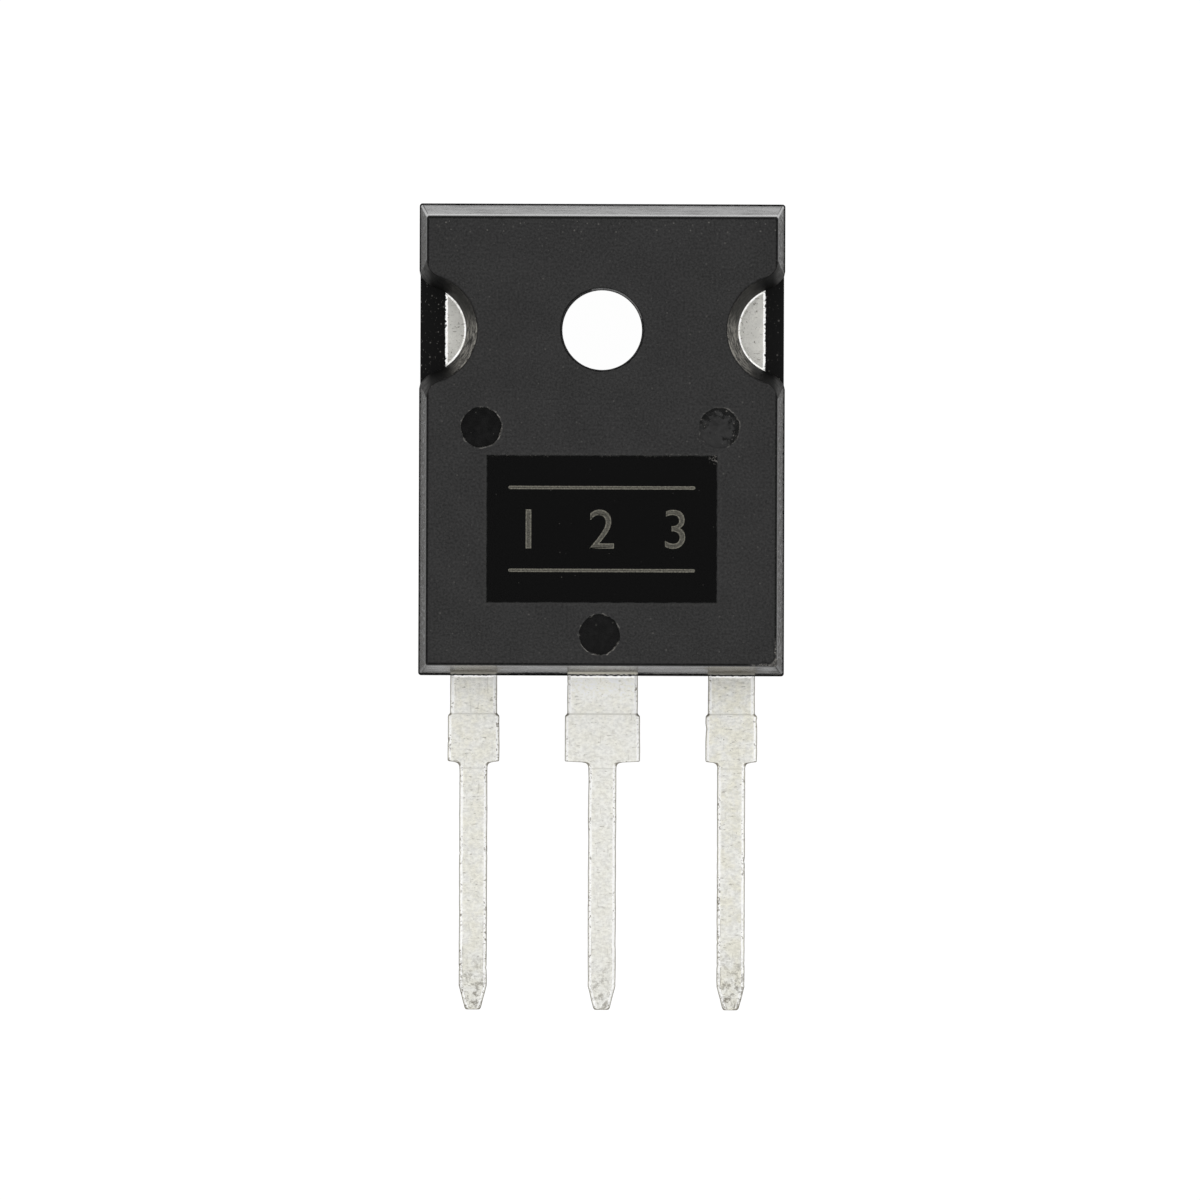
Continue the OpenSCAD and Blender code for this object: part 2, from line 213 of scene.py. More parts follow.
def settle(piece, name):
    """Names a piece and moves its place into its mesh."""
    make_active(piece)
    bpy.ops.object.transform_apply(location=True, rotation=True, scale=True)
    piece.name = piece.data.name = name
    return piece


def edit(piece):
    """Opens a piece for editing with nothing selected."""
    make_active(piece)
    bpy.ops.object.mode_set(mode="EDIT")
    bpy.ops.mesh.select_mode(type="VERT")
    bpy.ops.mesh.select_all(action="DESELECT")


def leave(piece):
    """Closes a piece after editing."""
    bpy.ops.object.mode_set(mode="OBJECT")
    return piece


def pick(piece, kind, test):
    """Selects the vertices, edges or faces that pass a test, and nothing else. It returns how many."""
    bpy.ops.mesh.select_mode(type={"verts": "VERT", "edges": "EDGE", "faces": "FACE"}[kind])
    bpy.ops.mesh.select_all(action="DESELECT")
    mesh = bmesh.from_edit_mesh(piece.data)
    chosen = [part for part in getattr(mesh, kind) if test(part)]
    for part in chosen:
        part.select_set(True)
    if kind == "verts":
        mesh.select_flush(True)
    bmesh.update_edit_mesh(piece.data)
    return len(chosen)


def move_by(offset):
    """Moves what is selected."""
    bpy.ops.transform.translate(value=offset)


def resize_by(factors, centre):
    """Scales what is selected about a centre."""
    bpy.ops.transform.resize(value=factors, center_override=centre)


def extrude_by(offset):
    """Extrudes what is selected."""
    bpy.ops.mesh.extrude_region_move(TRANSFORM_OT_translate={"value": offset})


def use_modifier(piece, kind, **settings):
    """Adds a modifier, sets it and applies it."""
    make_active(piece)
    added = piece.modifiers.new(kind.title(), kind)
    for name, value in settings.items():
        setattr(added, name, value)
    bpy.ops.object.modifier_apply(modifier=added.name)
    return piece


def cut(piece, cutter):
    """Cuts a piece with a cutter, whose finish stays on the cut faces. The cutter is used up."""
    use_modifier(
        piece, "BOOLEAN", object=cutter, operation="DIFFERENCE", solver="EXACT", material_mode="TRANSFER"
    )
    bpy.data.objects.remove(cutter)
    return piece


def packed_copy(node, name):
    """A merged copy of a packed part, whose flat faces are whole."""
    deselect_everything()
    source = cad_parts[node]
    copy = bpy.data.objects.new(name, source.data.copy())
    bpy.context.scene.collection.objects.link(copy)
    copy.data.name = name
    copy.data.materials.clear()
    edit(copy)
    bpy.ops.mesh.select_all(action="SELECT")
    bpy.ops.mesh.remove_doubles(threshold=1e-7)
    bpy.ops.mesh.dissolve_limited(angle_limit=math.radians(0.5), delimit=set())
    return leave(copy)


def smooth(piece, angle=35):
    """Smooth shading that leaves flat faces flat."""
    make_active(piece)
    bpy.ops.object.shade_smooth_by_angle(angle=math.radians(angle))
    for f in piece.data.polygons:
        if abs(f.normal.z) > 0.9999:
            f.use_smooth = False
    return use_modifier(piece, "WEIGHTED_NORMAL", keep_sharp=True)


def finish_piece(piece, slot, *nodes):
    """Makes a piece part of the transistor, in place of packed parts if any are named."""
    deselect_everything()
    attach(piece, BODY)
    if nodes:
        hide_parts(*nodes)
    return piece


def add_node(tree, kind, inputs=None, **settings):
    """Adds a node. An input is a value, or another node's output to link."""
    made = tree.nodes.new("ShaderNode" + kind)
    for name, value in settings.items():
        setattr(made, name, value)
    for key, value in (inputs or {}).items():
        if isinstance(value, bpy.types.NodeSocket):
            tree.links.new(value, made.inputs[key])
        else:
            made.inputs[key].default_value = value
    return made


def reckon(tree, operation, *values):
    """The result of a sum on numbers."""
    return add_node(tree, "Math", dict(enumerate(values)), operation=operation).outputs[0]


def plus(tree, first, second):
    """Two numbers added."""
    return reckon(tree, "ADD", first, second)


def minus(tree, first, second):
    """One number less another."""
    return reckon(tree, "SUBTRACT", first, second)


def unsigned(tree, value):
    """A number without its sign."""
    return reckon(tree, "ABSOLUTE", value)


def ramp(tree, value, low, high, to_low=0.0, to_high=1.0):
    """A number that runs smoothly from one value to another as the input crosses a range."""
    inputs = {"Value": value, "From Min": low, "From Max": high, "To Min": to_low, "To Max": to_high}
    return add_node(tree, "MapRange", inputs, interpolation_type="SMOOTHSTEP").outputs["Result"]


def blend(tree, amount, first, second):
    """A mix of two colours."""
    inputs = {0: amount, 6: first, 7: second}
    return add_node(tree, "Mix", inputs, data_type="RGBA").outputs[2]


def shaded(tree, tint, tone):
    """A colour made darker or lighter by a number."""
    inputs = {0: 1.0, 6: tint, 7: tone}
    return add_node(tree, "Mix", inputs, data_type="RGBA", blend_type="MULTIPLY").outputs[2]


def product(tree, *values):
    """Several numbers multiplied together."""
    result = values[0]
    for value in values[1:]:
        result = reckon(tree, "MULTIPLY", result, value)
    return result


def highest(tree, *values):
    """The highest of several numbers."""
    result = values[0]
    for value in values[1:]:
        result = reckon(tree, "MAXIMUM", result, value)
    return result


def place_in(tree):
    """Where a point lies in the part's own frame, and its three numbers."""
    place = add_node(tree, "TexCoord").outputs["Object"]
    parts = add_node(tree, "SeparateXYZ", {0: place}).outputs
    return place, parts[0], parts[1], parts[2]


def facing(tree):
    """The three numbers of the direction that a surface faces."""
    return add_node(tree, "SeparateXYZ", {0: add_node(tree, "NewGeometry").outputs["Normal"]}).outputs


def cloud(tree, place, size, detail=3.0, stretch=(1, 1, 1), offset=(0, 0, 0), roughness=0.5):
    """Soft noise from 0 to 1 whose blotches have a given size."""
    placed = add_node(tree, "Mapping", {"Vector": place, "Scale": stretch, "Location": offset}).outputs[0]
    inputs = {"Vector": placed, "Scale": 1 / size, "Detail": detail, "Roughness": roughness}
    return add_node(tree, "TexNoise", inputs).outputs[0]


def dots(tree, place, spacing, size, offset=(0, 0, 0)):
    """Small round dots on a level face, some bright and some faint: up to 1 in a dot, 0 between the dots."""
    placed = add_node(tree, "Mapping", {"Vector": place, "Location": offset}).outputs[0]
    inputs = {"Vector": placed, "Scale": 1 / spacing}
    cells = add_node(tree, "TexVoronoi", inputs, voronoi_dimensions="2D").outputs
    chance = add_node(tree, "SeparateXYZ", {0: cells["Color"]}).outputs
    width = reckon(tree, "MULTIPLY", ramp(tree, chance[0], 0.0, 1.0, 0.5, 1.2), size / spacing)
    disc = ramp(tree, reckon(tree, "DIVIDE", cells["Distance"], width), 1.0, 0.3)
    return product(tree, disc, ramp(tree, chance[1], 0.2, 1.0))


def away_from(tree, along_x, along_y, centre):
    """Distance from an upright axis, and the two numbers of the way from it."""
    dx = minus(tree, along_x, centre[0])
    dy = minus(tree, along_y, centre[1])
    squares = plus(tree, reckon(tree, "MULTIPLY", dx, dx), reckon(tree, "MULTIPLY", dy, dy))
    return reckon(tree, "SQRT", squares), dx, dy


def beyond_box(tree, along_x, along_y, centre, half):
    """Distance outside a rectangle, below 0 inside it."""
    dx = unsigned(tree, minus(tree, along_x, centre[0]))
    dy = unsigned(tree, minus(tree, along_y, centre[1]))
    return highest(tree, minus(tree, dx, half[0]), minus(tree, dy, half[1]))


def relief(tree, height, depth, strength=1.0):
    """A fine surface relief of a given depth."""
    return add_node(tree, "Bump", {"Height": height, "Distance": depth, "Strength": strength}).outputs[0]


def new_finish(name):
    """An empty material with its shader."""
    made = bpy.data.materials.get(name) or bpy.data.materials.new(name)
    made.use_nodes = True
    tree = made.node_tree
    tree.nodes.clear()
    shader = add_node(tree, "BsdfPrincipled")
    output = add_node(tree, "OutputMaterial")
    tree.links.new(shader.outputs[0], output.inputs[0])
    return made, tree, shader


def set_finish(tree, shader, base, roughness, normal=None, **constants):
    """Puts colour, roughness and relief on the shader."""
    for name, value in (("Base Color", base), ("Roughness", roughness), ("Normal", normal)):
        if isinstance(value, bpy.types.NodeSocket):
            tree.links.new(value, shader.inputs[name])
        elif value is not None:
            shader.inputs[name].default_value = value
    for name, value in constants.items():
        shader.inputs[name.replace("_", " ")].default_value = value


def opaque(rgb):
    """A colour with full opacity."""
    return (rgb[0], rgb[1], rgb[2], 1.0)


def field_place(sizes):
    """Middle and half size of the marking field."""
    middle_y = body_low.y + sizes.field_rise + sizes.field_length / 2
    return (sizes.field_shift, middle_y), (sizes.field_width / 2, sizes.field_length / 2)


def mark_places(sizes):
    """Where the left, the right and the lower ejector mark are."""
    upper_y = body_low.y + sizes.field_rise + sizes.field_length + sizes.mark_rise
    left, right = -sizes.mark_span / 2 - sizes.mark_shift, sizes.mark_span / 2 - sizes.mark_shift
    return (left, upper_y), (right, upper_y), (-sizes.mark_shift, body_low.y + sizes.low_mark_rise)


def rim_glints(tree, place, along_x, along_y, centre, radius, towards, shine=1.0):
    """Painted highlights: pale ragged stretches on a mark's rim, on the side that a direction names."""
    distance, dx, dy = away_from(tree, along_x, along_y, centre)
    waver = ramp(tree, cloud(tree, place, 0.2 * MM), 0.3, 0.7, -0.035 * MM, 0.035 * MM)
    gap = unsigned(tree, minus(tree, plus(tree, distance, waver), radius + 0.012 * MM))
    ring = ramp(tree, gap, 0.042 * MM, 0.01 * MM)
    toward = plus(tree, product(tree, dx, towards[0] / radius), product(tree, dy, towards[1] / radius))
    broken = ramp(tree, cloud(tree, place, 0.24 * MM, 3, offset=(3, 1, 0)), 0.42, 0.6)
    facing_light = ramp(tree, toward, 0.0, 0.8)
    strong = product(tree, ring, facing_light, ramp(tree, broken, 0.0, 0.7, 0.12, 1.0), 0.75 * shine)
    faint = product(tree, ring, ramp(tree, broken, 0.5, 1.0), 0.42 * shine)
    return highest(tree, strong, faint)


def mark_glints(tree, place, x, y, sizes):
    """The painted highlights on the rims of all three ejector marks."""
    left, right, low = mark_places(sizes)
    radius = sizes.mark / 2
    return highest(
        tree,
        rim_glints(tree, place, x, y, left, radius, (0.95, -0.1)),
        rim_glints(tree, place, x, y, right, radius, (0.75, 0.65), 0.6),
        rim_glints(tree, place, x, y, low, radius, (0.1, -1.0)),
    )


def edge_shade_lines(tree, x, y, body):
    """Where the thin dark lines of painted shade along the front face's outline, the hole and the notches
    are.
    """
    low_y, high_y = body_low.y + body.inset_bottom, body_high.y - body.inset_top
    half = (body_high.x - body.inset_side, (high_y - low_y) / 2)
    inside = beyond_box(tree, x, y, (0.0, (low_y + high_y) / 2), half)
    outline = ramp(tree, inside, -0.15 * MM, -0.1 * MM)
    away, _, _ = away_from(tree, unsigned(tree, x), y, (body_high.x - body.notch_inset, 0.0))
    notch = product(tree, ramp(tree, away, body.notch_front + 0.1 * MM, body.notch_front + 0.05 * MM), 0.75)
    return highest(tree, outline, notch)


def hole_rim_shade(tree, place, x, y, body):
    """The thin crumbly dark edge of painted shade round the mounting hole."""
    away, _, _ = away_from(tree, x, y, (0.0, 0.0))
    waver = ramp(tree, cloud(tree, place, 0.25 * MM, 3), 0.3, 0.7, -0.025 * MM, 0.025 * MM)
    gap = minus(tree, plus(tree, away, waver), body.hole / 2)
    return product(tree, ramp(tree, gap, 0.05 * MM, 0.03 * MM), 0.8)


def chip_rim(tree, place, x, y, sizes, body):
    """Round the worn corner: light crumbs on the edge's bend, a dark line of painted shade inside it, and
    where they lie.
    """
    corner = (body_high.x - body.inset_side, body_low.y + body.inset_bottom)
    bend = sizes.chip_round + 0.06 * MM
    over_x = reckon(tree, "MAXIMUM", minus(tree, x, corner[0] - bend), 0.0)
    over_y = reckon(tree, "MAXIMUM", minus(tree, corner[1] + bend, y), 0.0)
    squares = plus(tree, reckon(tree, "MULTIPLY", over_x, over_x), reckon(tree, "MULTIPLY", over_y, over_y))
    waver = ramp(tree, cloud(tree, place, 0.3 * MM, 3, offset=(1, 1, 0)), 0.3, 0.7, -0.05 * MM, 0.05 * MM)
    gap = minus(tree, plus(tree, reckon(tree, "SQRT", squares), waver), sizes.chip_round)
    away, _, _ = away_from(tree, x, y, corner)
    near = ramp(tree, away, 1.3 * MM, 0.8 * MM)
    broken = ramp(tree, cloud(tree, place, 0.12 * MM, 4, offset=(6, 3, 0), roughness=0.7), 0.44, 0.58)
    light = product(tree, ramp(tree, unsigned(tree, gap), 0.075 * MM, 0.025 * MM), broken, near, 0.75)
    inner = unsigned(tree, plus(tree, gap, 0.11 * MM))
    return light, product(tree, ramp(tree, inner, 0.05 * MM, 0.02 * MM), near, 0.6), near


def face_finish(colours, sizes, body):
    """Matte moulded epoxy with a fine grain, specks along the field, painted highlights round the ejector
    marks and painted shade along its edges.
    """
    made, tree, shader = new_finish("matte_epoxy")
    place, x, y, _ = place_in(tree)
    grain = cloud(tree, place, 0.1 * MM, 5, roughness=0.75)
    drift = cloud(tree, place, 1.6 * MM, 4)
    tone = plus(tree, ramp(tree, grain, 0.3, 0.7, 0.2, 1.8), ramp(tree, drift, 0.3, 0.7, -0.12, 0.12))
    base = shaded(tree, opaque(colours.epoxy), tone)
    # Painted highlights on the ejector marks' rims.
    glints = mark_glints(tree, place, x, y, sizes)
    middle, half = field_place(sizes)
    outside = beyond_box(tree, x, y, middle, half)
    halo = product(tree, ramp(tree, outside, 0.16 * MM, 0.03 * MM), 0.02)
    top_edge = product(
        tree,
        ramp(tree, outside, 0.1 * MM, 0.02 * MM),
        ramp(tree, y, middle[1] + half[1] - 0.02 * MM, middle[1] + half[1] + 0.01 * MM),
        ramp(tree, cloud(tree, place, 0.1 * MM, 2, offset=(0.5, 0, 0)), 0.6, 0.72),
        0.3,
    )
    holewards = ramp(tree, y, body_high.y - 1.9 * MM, body_high.y - 0.8 * MM)
    specks = highest(
        tree,
        product(tree, dots(tree, place, 0.75 * MM, 0.05 * MM), 0.2),
        product(tree, dots(tree, place, 0.33 * MM, 0.04 * MM, (0.2 * MM, 0.3 * MM, 0)), 0.1),
        product(tree, dots(tree, place, 0.36 * MM, 0.045 * MM, (0.1 * MM, 0.1 * MM, 0)), holewards, 0.5),
    )
    chip_light, chip_edge_shade, near_chip = chip_rim(tree, place, x, y, sizes, body)
    pale = highest(tree, glints, halo, top_edge, specks, chip_light)
    outline = product(tree, edge_shade_lines(tree, x, y, body), minus(tree, 0.88, near_chip))
    # Painted shade: thin dark lines along the face's edges, the hole's edge and the worn corner's edge.
    lines = highest(tree, outline, hole_rim_shade(tree, place, x, y, body), chip_edge_shade)
    edge_shaded = blend(tree, lines, base, (0.002, 0.002, 0.002, 1))
    final = blend(tree, pale, edge_shaded, opaque(colours.filler_and_glint))
    rough = minus(tree, ramp(tree, grain, 0.2, 0.8, 0.46, 0.66), product(tree, lines, 0.4))
    bump = relief(tree, grain, 0.012 * MM, 0.5)
    set_finish(tree, shader, final, rough, bump, Specular_IOR_Level=0.3)
    return made


def wall_finish(colours, body, leads):
    """Drafted walls of the body: streaked and glossy at the ends, mottled and duller at the sides, painted
    highlights at top and corners, a painted reflection of the outer leads.
    """
    made, tree, shader = new_finish("drafted_walls")
    place, x, y, z = place_in(tree)
    normal = facing(tree)
    across = unsigned(tree, normal[0])
    sideways = ramp(tree, across, 0.5, 0.9)
    hole_end = ramp(tree, normal[1], 0.5, 0.9)
    lead_end = ramp(tree, normal[1], -0.5, -0.9)
    mottled = cloud(tree, place, 0.15 * MM, 4, stretch=(1, 1, 0.35), roughness=0.7)
    drawn = cloud(tree, place, 0.2 * MM, 4, stretch=(0.14, 1, 0.45), roughness=0.65)
    grit = cloud(tree, place, 0.09 * MM, 5, stretch=(0.6, 1, 1), roughness=0.75)
    drawn = plus(tree, product(tree, drawn, 0.5), product(tree, grit, 0.5))
    streaks = blend(tree, sideways, drawn, mottled)
    tone = ramp(tree, streaks, 0.3, 0.7, 0.5, 1.6)
    base = shaded(tree, opaque(colours.epoxy), tone)
    parting = unsigned(tree, minus(tree, z, body.parting))
    flash = product(tree, ramp(tree, parting, 0.05 * MM, 0.015 * MM), 0.12)
    scuffs = product(tree, ramp(tree, cloud(tree, place, 0.5 * MM, 5, offset=(2, 0, 0)), 0.6, 0.75), 0.12)
    depth = plus(tree, 0.15, plus(tree, product(tree, sideways, 0.3), product(tree, lead_end, 0.5)))
    worn = product(tree, ramp(tree, streaks, 0.44, 0.66), depth)
    # Painted reflection of the outer leads: a streaked brown tint on the lead-end wall over them.
    from_centre = unsigned(tree, minus(tree, x, leads.shift))
    from_outer = unsigned(tree, minus(tree, from_centre, leads.pitch))
    ragged = ramp(tree, cloud(tree, place, 0.45 * MM, 4, offset=(5, 1, 0)), 0.3, 0.7, -0.3 * MM, 0.3 * MM)
    from_outer = plus(tree, from_outer, ragged)
    over_outer = ramp(tree, from_outer, leads.outer_root / 2 + 0.14 * MM, leads.outer_root / 2 - 0.14 * MM)
    forward = product(tree, lead_end, ramp(tree, z, body.parting, body.parting + 0.3 * MM))
    lead_reflection = product(tree, forward, over_outer)
    # Painted highlights: grey along the walls' top edge, most at the hole end, and on the rounded upright
    # corners.
    front = ramp(tree, z, body_high.z - 0.42 * MM, body_high.z - 0.26 * MM)
    upright = ramp(tree, z, body.parting, body.parting + 0.01 * MM)
    slanted = plus(tree, 0.25, product(tree, ramp(tree, normal[1], 0.1, 0.4), 0.45))
    corner = product(tree, upright, ramp(tree, across, 0.25, 0.4), ramp(tree, across, 0.93, 0.8), slanted)
    ends = plus(tree, product(tree, hole_end, 0.5), product(tree, lead_end, 0.1))
    crest_highlight = product(tree, front, plus(tree, 0.03, ends))
    streaked_lead_reflection = product(tree, lead_reflection, ramp(tree, streaks, 0.36, 0.64, 0.2, 0.9))
    # The brown is the painted reflection's colour.
    lead_reflected = blend(tree, streaked_lead_reflection, base, (0.12, 0.104, 0.07, 1))
    marked = blend(tree, highest(tree, flash, scuffs, worn), lead_reflected, opaque(colours.filler_and_glint))
    # The grey is the painted highlights' colour.
    final = blend(tree, highest(tree, crest_highlight, corner), marked, (0.52, 0.52, 0.52, 1))
    plain = ramp(tree, streaks, 0.38, 0.62, 0.07, 0.39)
    plain = plus(tree, plain, product(tree, streaked_lead_reflection, 0.2))
    plain = minus(tree, plain, product(tree, hole_end, 0.035))
    rubbed = ramp(tree, cloud(tree, place, 0.3 * MM, 4, stretch=(0.4, 1, 1), offset=(3, 3, 3)), 0.4, 0.6)
    rightmost = ramp(tree, x, body_high.x - 1.5 * MM, body_high.x - 1 * MM)
    beside_chip = product(tree, lead_end, rightmost, rubbed, 0.3)
    plain = plus(tree, plain, beside_chip)
    upper_left = product(tree, ramp(tree, y, 1.5 * MM, 2.6 * MM), ramp(tree, x, 0.0, -5 * MM), sideways, 0.12)
    plain = plus(tree, plain, upper_left)
    rough = plus(tree, plain, product(tree, sideways, ramp(tree, mottled, 0.36, 0.64, 0.02, 0.42)))
    bump = relief(tree, streaks, 0.012 * MM, 0.7)
    set_finish(tree, shader, final, rough, bump, Specular_IOR_Level=0.5)
    return made


def seam_finish(colours):
    """The small slope at the parting line: dull, dark and dusty."""
    made, tree, shader = new_finish("seam_epoxy")
    place, *_ = place_in(tree)
    crumbs = cloud(tree, place, 0.12 * MM, 4, roughness=0.7)
    base = blend(tree, ramp(tree, crumbs, 0.52, 0.78), opaque(colours.polished), (0.08, 0.076, 0.07, 1))
    rough = ramp(tree, crumbs, 0.2, 0.8, 0.6, 0.8)
    set_finish(tree, shader, base, rough, relief(tree, crumbs, 0.004 * MM, 0.4), Specular_IOR_Level=0.1)
    return made


def polished_finish(colours, sizes):
    """Smooth marking field, whose border runs softly into the matte face."""
    made, tree, shader = new_finish("polished_field")
    place, x, y, _ = place_in(tree)
    middle, half = field_place(sizes)
    outside = beyond_box(tree, x, y, middle, half)
    waver = ramp(tree, cloud(tree, place, 0.3 * MM, 3), 0.3, 0.7, -0.012 * MM, 0.012 * MM)
    border = ramp(tree, plus(tree, outside, waver), -0.06 * MM, 0.02 * MM)
    corner, _, _ = away_from(tree, x, y, (middle[0] + half[0] - 0.1 * MM, middle[1] + half[1] - 0.12 * MM))
    at_corner = ramp(tree, corner, 0.36 * MM, 0.06 * MM)
    crumbs = product(tree, at_corner, ramp(tree, cloud(tree, place, 0.11 * MM, 3), 0.5, 0.66), 0.6)
    top_line = product(
        tree,
        ramp(tree, outside, -0.16 * MM, 0.0),
        ramp(tree, y, middle[1] + half[1] - 0.16 * MM, middle[1] + half[1] - 0.03 * MM),
        ramp(tree, cloud(tree, place, 0.1 * MM, 3), 0.58, 0.7),
        0.3,
    )
    dust = product(tree, dots(tree, place, 1.3 * MM, 0.03 * MM, (0.3 * MM, 0, 0)), 0.25)
    base = blend(tree, border, opaque(colours.polished), opaque(colours.epoxy))
    final = blend(tree, highest(tree, crumbs, top_line, dust), base, opaque(colours.filler_and_glint))
    rough = plus(tree, 0.16, highest(tree, product(tree, border, 0.34), product(tree, crumbs, 0.4)))
    ripple = cloud(tree, place, 0.35 * MM, 3)
    set_finish(tree, shader, final, rough, relief(tree, ripple, 0.004 * MM, 0.35), Specular_IOR_Level=0.4)
    return made


def mark_finish(colours, sizes):
    """Floor and wall of the ejector marks: smooth and dark, with faint turning lines, a few crumbs and
    painted highlights (glints) on the rims.
    """
    made, tree, shader = new_finish("ejector_mark")
    place, x, y, _ = place_in(tree)
    _, right, low = mark_places(sizes)
    radius = sizes.mark / 2
    mottle = cloud(tree, place, 0.25 * MM, 4)
    greyer = ramp(tree, mottle, 0.35, 0.75, 0.0, 0.35)
    base = blend(tree, greyer, opaque(colours.polished), opaque(colours.epoxy))
    from_low, _, _ = away_from(tree, x, y, low)
    paler = product(tree, ramp(tree, from_low, 1.3 * radius, 1.1 * radius), 0.16)
    base = blend(tree, paler, base, opaque(colours.epoxy))
    distance, dx, dy = away_from(tree, x, y, right)
    near_right = ramp(tree, distance, 1.3 * radius, 1.1 * radius)
    ragged = cloud(tree, place, 0.2 * MM, 5, offset=(7, 2, 0), roughness=0.7)
    rough_edge = ramp(tree, ragged, 0.25, 0.75, -0.34, 0.34)
    ratio = plus(tree, reckon(tree, "DIVIDE", distance, radius), rough_edge)
    lean = plus(tree, product(tree, dx, 0.55 / radius), product(tree, dy, 0.83 / radius))
    leaning = ramp(tree, plus(tree, lean, product(tree, rough_edge, 0.8)), -0.7, -0.1)
    dark_ring = product(tree, ramp(tree, ratio, 0.5, 0.8), leaning, 0.9)
    blotches = ramp(tree, cloud(tree, place, 0.3 * MM, 4, offset=(3, 9, 0)), 0.5, 0.62)
    blotches = product(tree, blotches, leaning, 0.5)
    filled = product(tree, near_right, minus(tree, 1.0, highest(tree, dark_ring, blotches)))
    grey = shaded(tree, opaque(colours.epoxy), ramp(tree, mottle, 0.3, 0.7, 0.45, 1.2))
    base = blend(tree, filled, base, grey)
    # Painted highlights on the ejector marks' rims.
    glints = mark_glints(tree, place, x, y, sizes)
    crumbs = product(tree, dots(tree, place, 0.8 * MM, 0.05 * MM, (0.1 * MM, 0.2 * MM, 0)), 0.2)
    on_ring = product(tree, ramp(tree, distance, 0.6 * radius, 0.8 * radius), near_right, leaning)
    grains = product(tree, dots(tree, place, 0.17 * MM, 0.04 * MM), on_ring, 0.65)
    final = blend(tree, highest(tree, glints, crumbs, grains), base, opaque(colours.filler_and_glint))
    rough = plus(tree, 0.2, product(tree, filled, 0.34))
    bump = relief(tree, mottle, 0.005 * MM, 0.4)
    set_finish(tree, shader, final, rough, bump, Specular_IOR_Level=0.35)
    return made


def notch_finish():
    """Notches: mottled grey-brown walls with painted shade towards their ends and the body's sides, painted
    sparkles, and a smooth dark floor with dust.
    """
    dark, brown, shade_black = (0.012, 0.0115, 0.0105, 1), (0.27, 0.258, 0.232, 1), (0.003, 0.003, 0.003, 1)
    corner_grey, dust_and_sparkle_grey = (0.12, 0.118, 0.115, 1), (0.3, 0.29, 0.27, 1)
    floor_black = (0.0115, 0.0115, 0.0115, 1)
    made, tree, shader = new_finish("notch_epoxy")
    place, x, y, _ = place_in(tree)
    upward = ramp(tree, facing(tree)[2], 0.6, 0.9)
    streaks = cloud(tree, place, 0.17 * MM, 5, stretch=(0.5, 0.5, 0.5), roughness=0.78)
    mottled = blend(tree, ramp(tree, streaks, 0.4, 0.62), dark, brown)
    # Painted shade: the walls go dark towards the notch's two ends and very dark near the body's sides; the
    # dark colour serves the mottle and this shade.
    from_side = minus(tree, body_high.x, unsigned(tree, x))
    deep = ramp(tree, from_side, 1.05 * MM, 2.05 * MM)
    lit = product(tree, deep, ramp(tree, y, 1.2 * MM, -0.5 * MM), ramp(tree, y, -2.5 * MM, -1.5 * MM))
    shade = ramp(tree, lit, 0.0, 1.0, 0.08, 1.0)
    hidden_shade = product(tree, ramp(tree, from_side, 1.55 * MM, 0.95 * MM), 0.9)
    walls = blend(tree, hidden_shade, blend(tree, shade, dark, mottled), shade_black)
    at_side = ramp(tree, from_side, 0.55 * MM, 0.25 * MM)
    walls = blend(tree, product(tree, at_side, ramp(tree, streaks, 0.3, 0.7, 0.1, 0.6)), walls, corner_grey)
    base = blend(tree, upward, walls, floor_black)
    grains = cloud(tree, place, 0.1 * MM, 4, stretch=(1, 0.7, 1), offset=(9, 0, 0), roughness=0.7)
    dust = product(
        tree,
        upward,
        highest(
            tree,
            product(tree, ramp(tree, grains, 0.62, 0.7), 0.5),
            product(tree, dots(tree, place, 0.4 * MM, 0.04 * MM), 0.7),
            dots(tree, place, 0.7 * MM, 0.05 * MM, (0.2 * MM, 0.1 * MM, 0)),
        ),
        ramp(tree, x, -1 * MM, 1 * MM, 1.0, 0.35),
    )
    # Painted highlights: small sparkles on the lit part of the walls.
    sparks = ramp(tree, cloud(tree, place, 0.1 * MM, 3, offset=(4, 0, 2)), 0.68, 0.76)
    sparks = product(tree, sparks, shade, 0.8, minus(tree, 1.0, upward))
    final = blend(tree, highest(tree, dust, sparks), base, dust_and_sparkle_grey)
    rough = ramp(tree, upward, 0.0, 1.0, 0.6, 0.17)
    set_finish(tree, shader, final, rough, relief(tree, streaks, 0.012 * MM, 0.5), Specular_IOR_Level=0.06)
    return made


def scuff_finish(colours, sizes, body):
    """The worn corner: rough broken epoxy with its pale fill showing."""
    made, tree, shader = new_finish("scuffed_epoxy")
    place, x, y, _ = place_in(tree)
    crumbs = cloud(tree, place, 0.09 * MM, 4, roughness=0.7)
    light, _, _ = chip_rim(tree, place, x, y, sizes, body)
    pale = highest(tree, ramp(tree, crumbs, 0.45, 0.7, 0.1, 0.6), light)
    base = blend(tree, pale, opaque(colours.epoxy), opaque(colours.filler_and_glint))
    set_finish(tree, shader, base, 0.6, relief(tree, crumbs, 0.02 * MM, 0.6), Specular_IOR_Level=0.32)
    return made


def bore_finish(name, colours, roughness, gloss):
    """Wall of the mounting hole and of the spaces inside the body: streaked, and glossier in one stretch."""
    made, tree, shader = new_finish(name)
    place, *_ = place_in(tree)
    lines = cloud(tree, place, 0.2 * MM, 4, stretch=(1, 1, 0.2))
    base = blend(tree, ramp(tree, lines, 0.3, 0.7), opaque(colours.polished), opaque(colours.epoxy))
    rough = ramp(tree, lines, 0.3, 0.7, roughness - 0.08, roughness + 0.08)
    set_finish(tree, shader, base, rough, relief(tree, lines, 0.008 * MM, 0.5), Specular_IOR_Level=gloss)
    return made


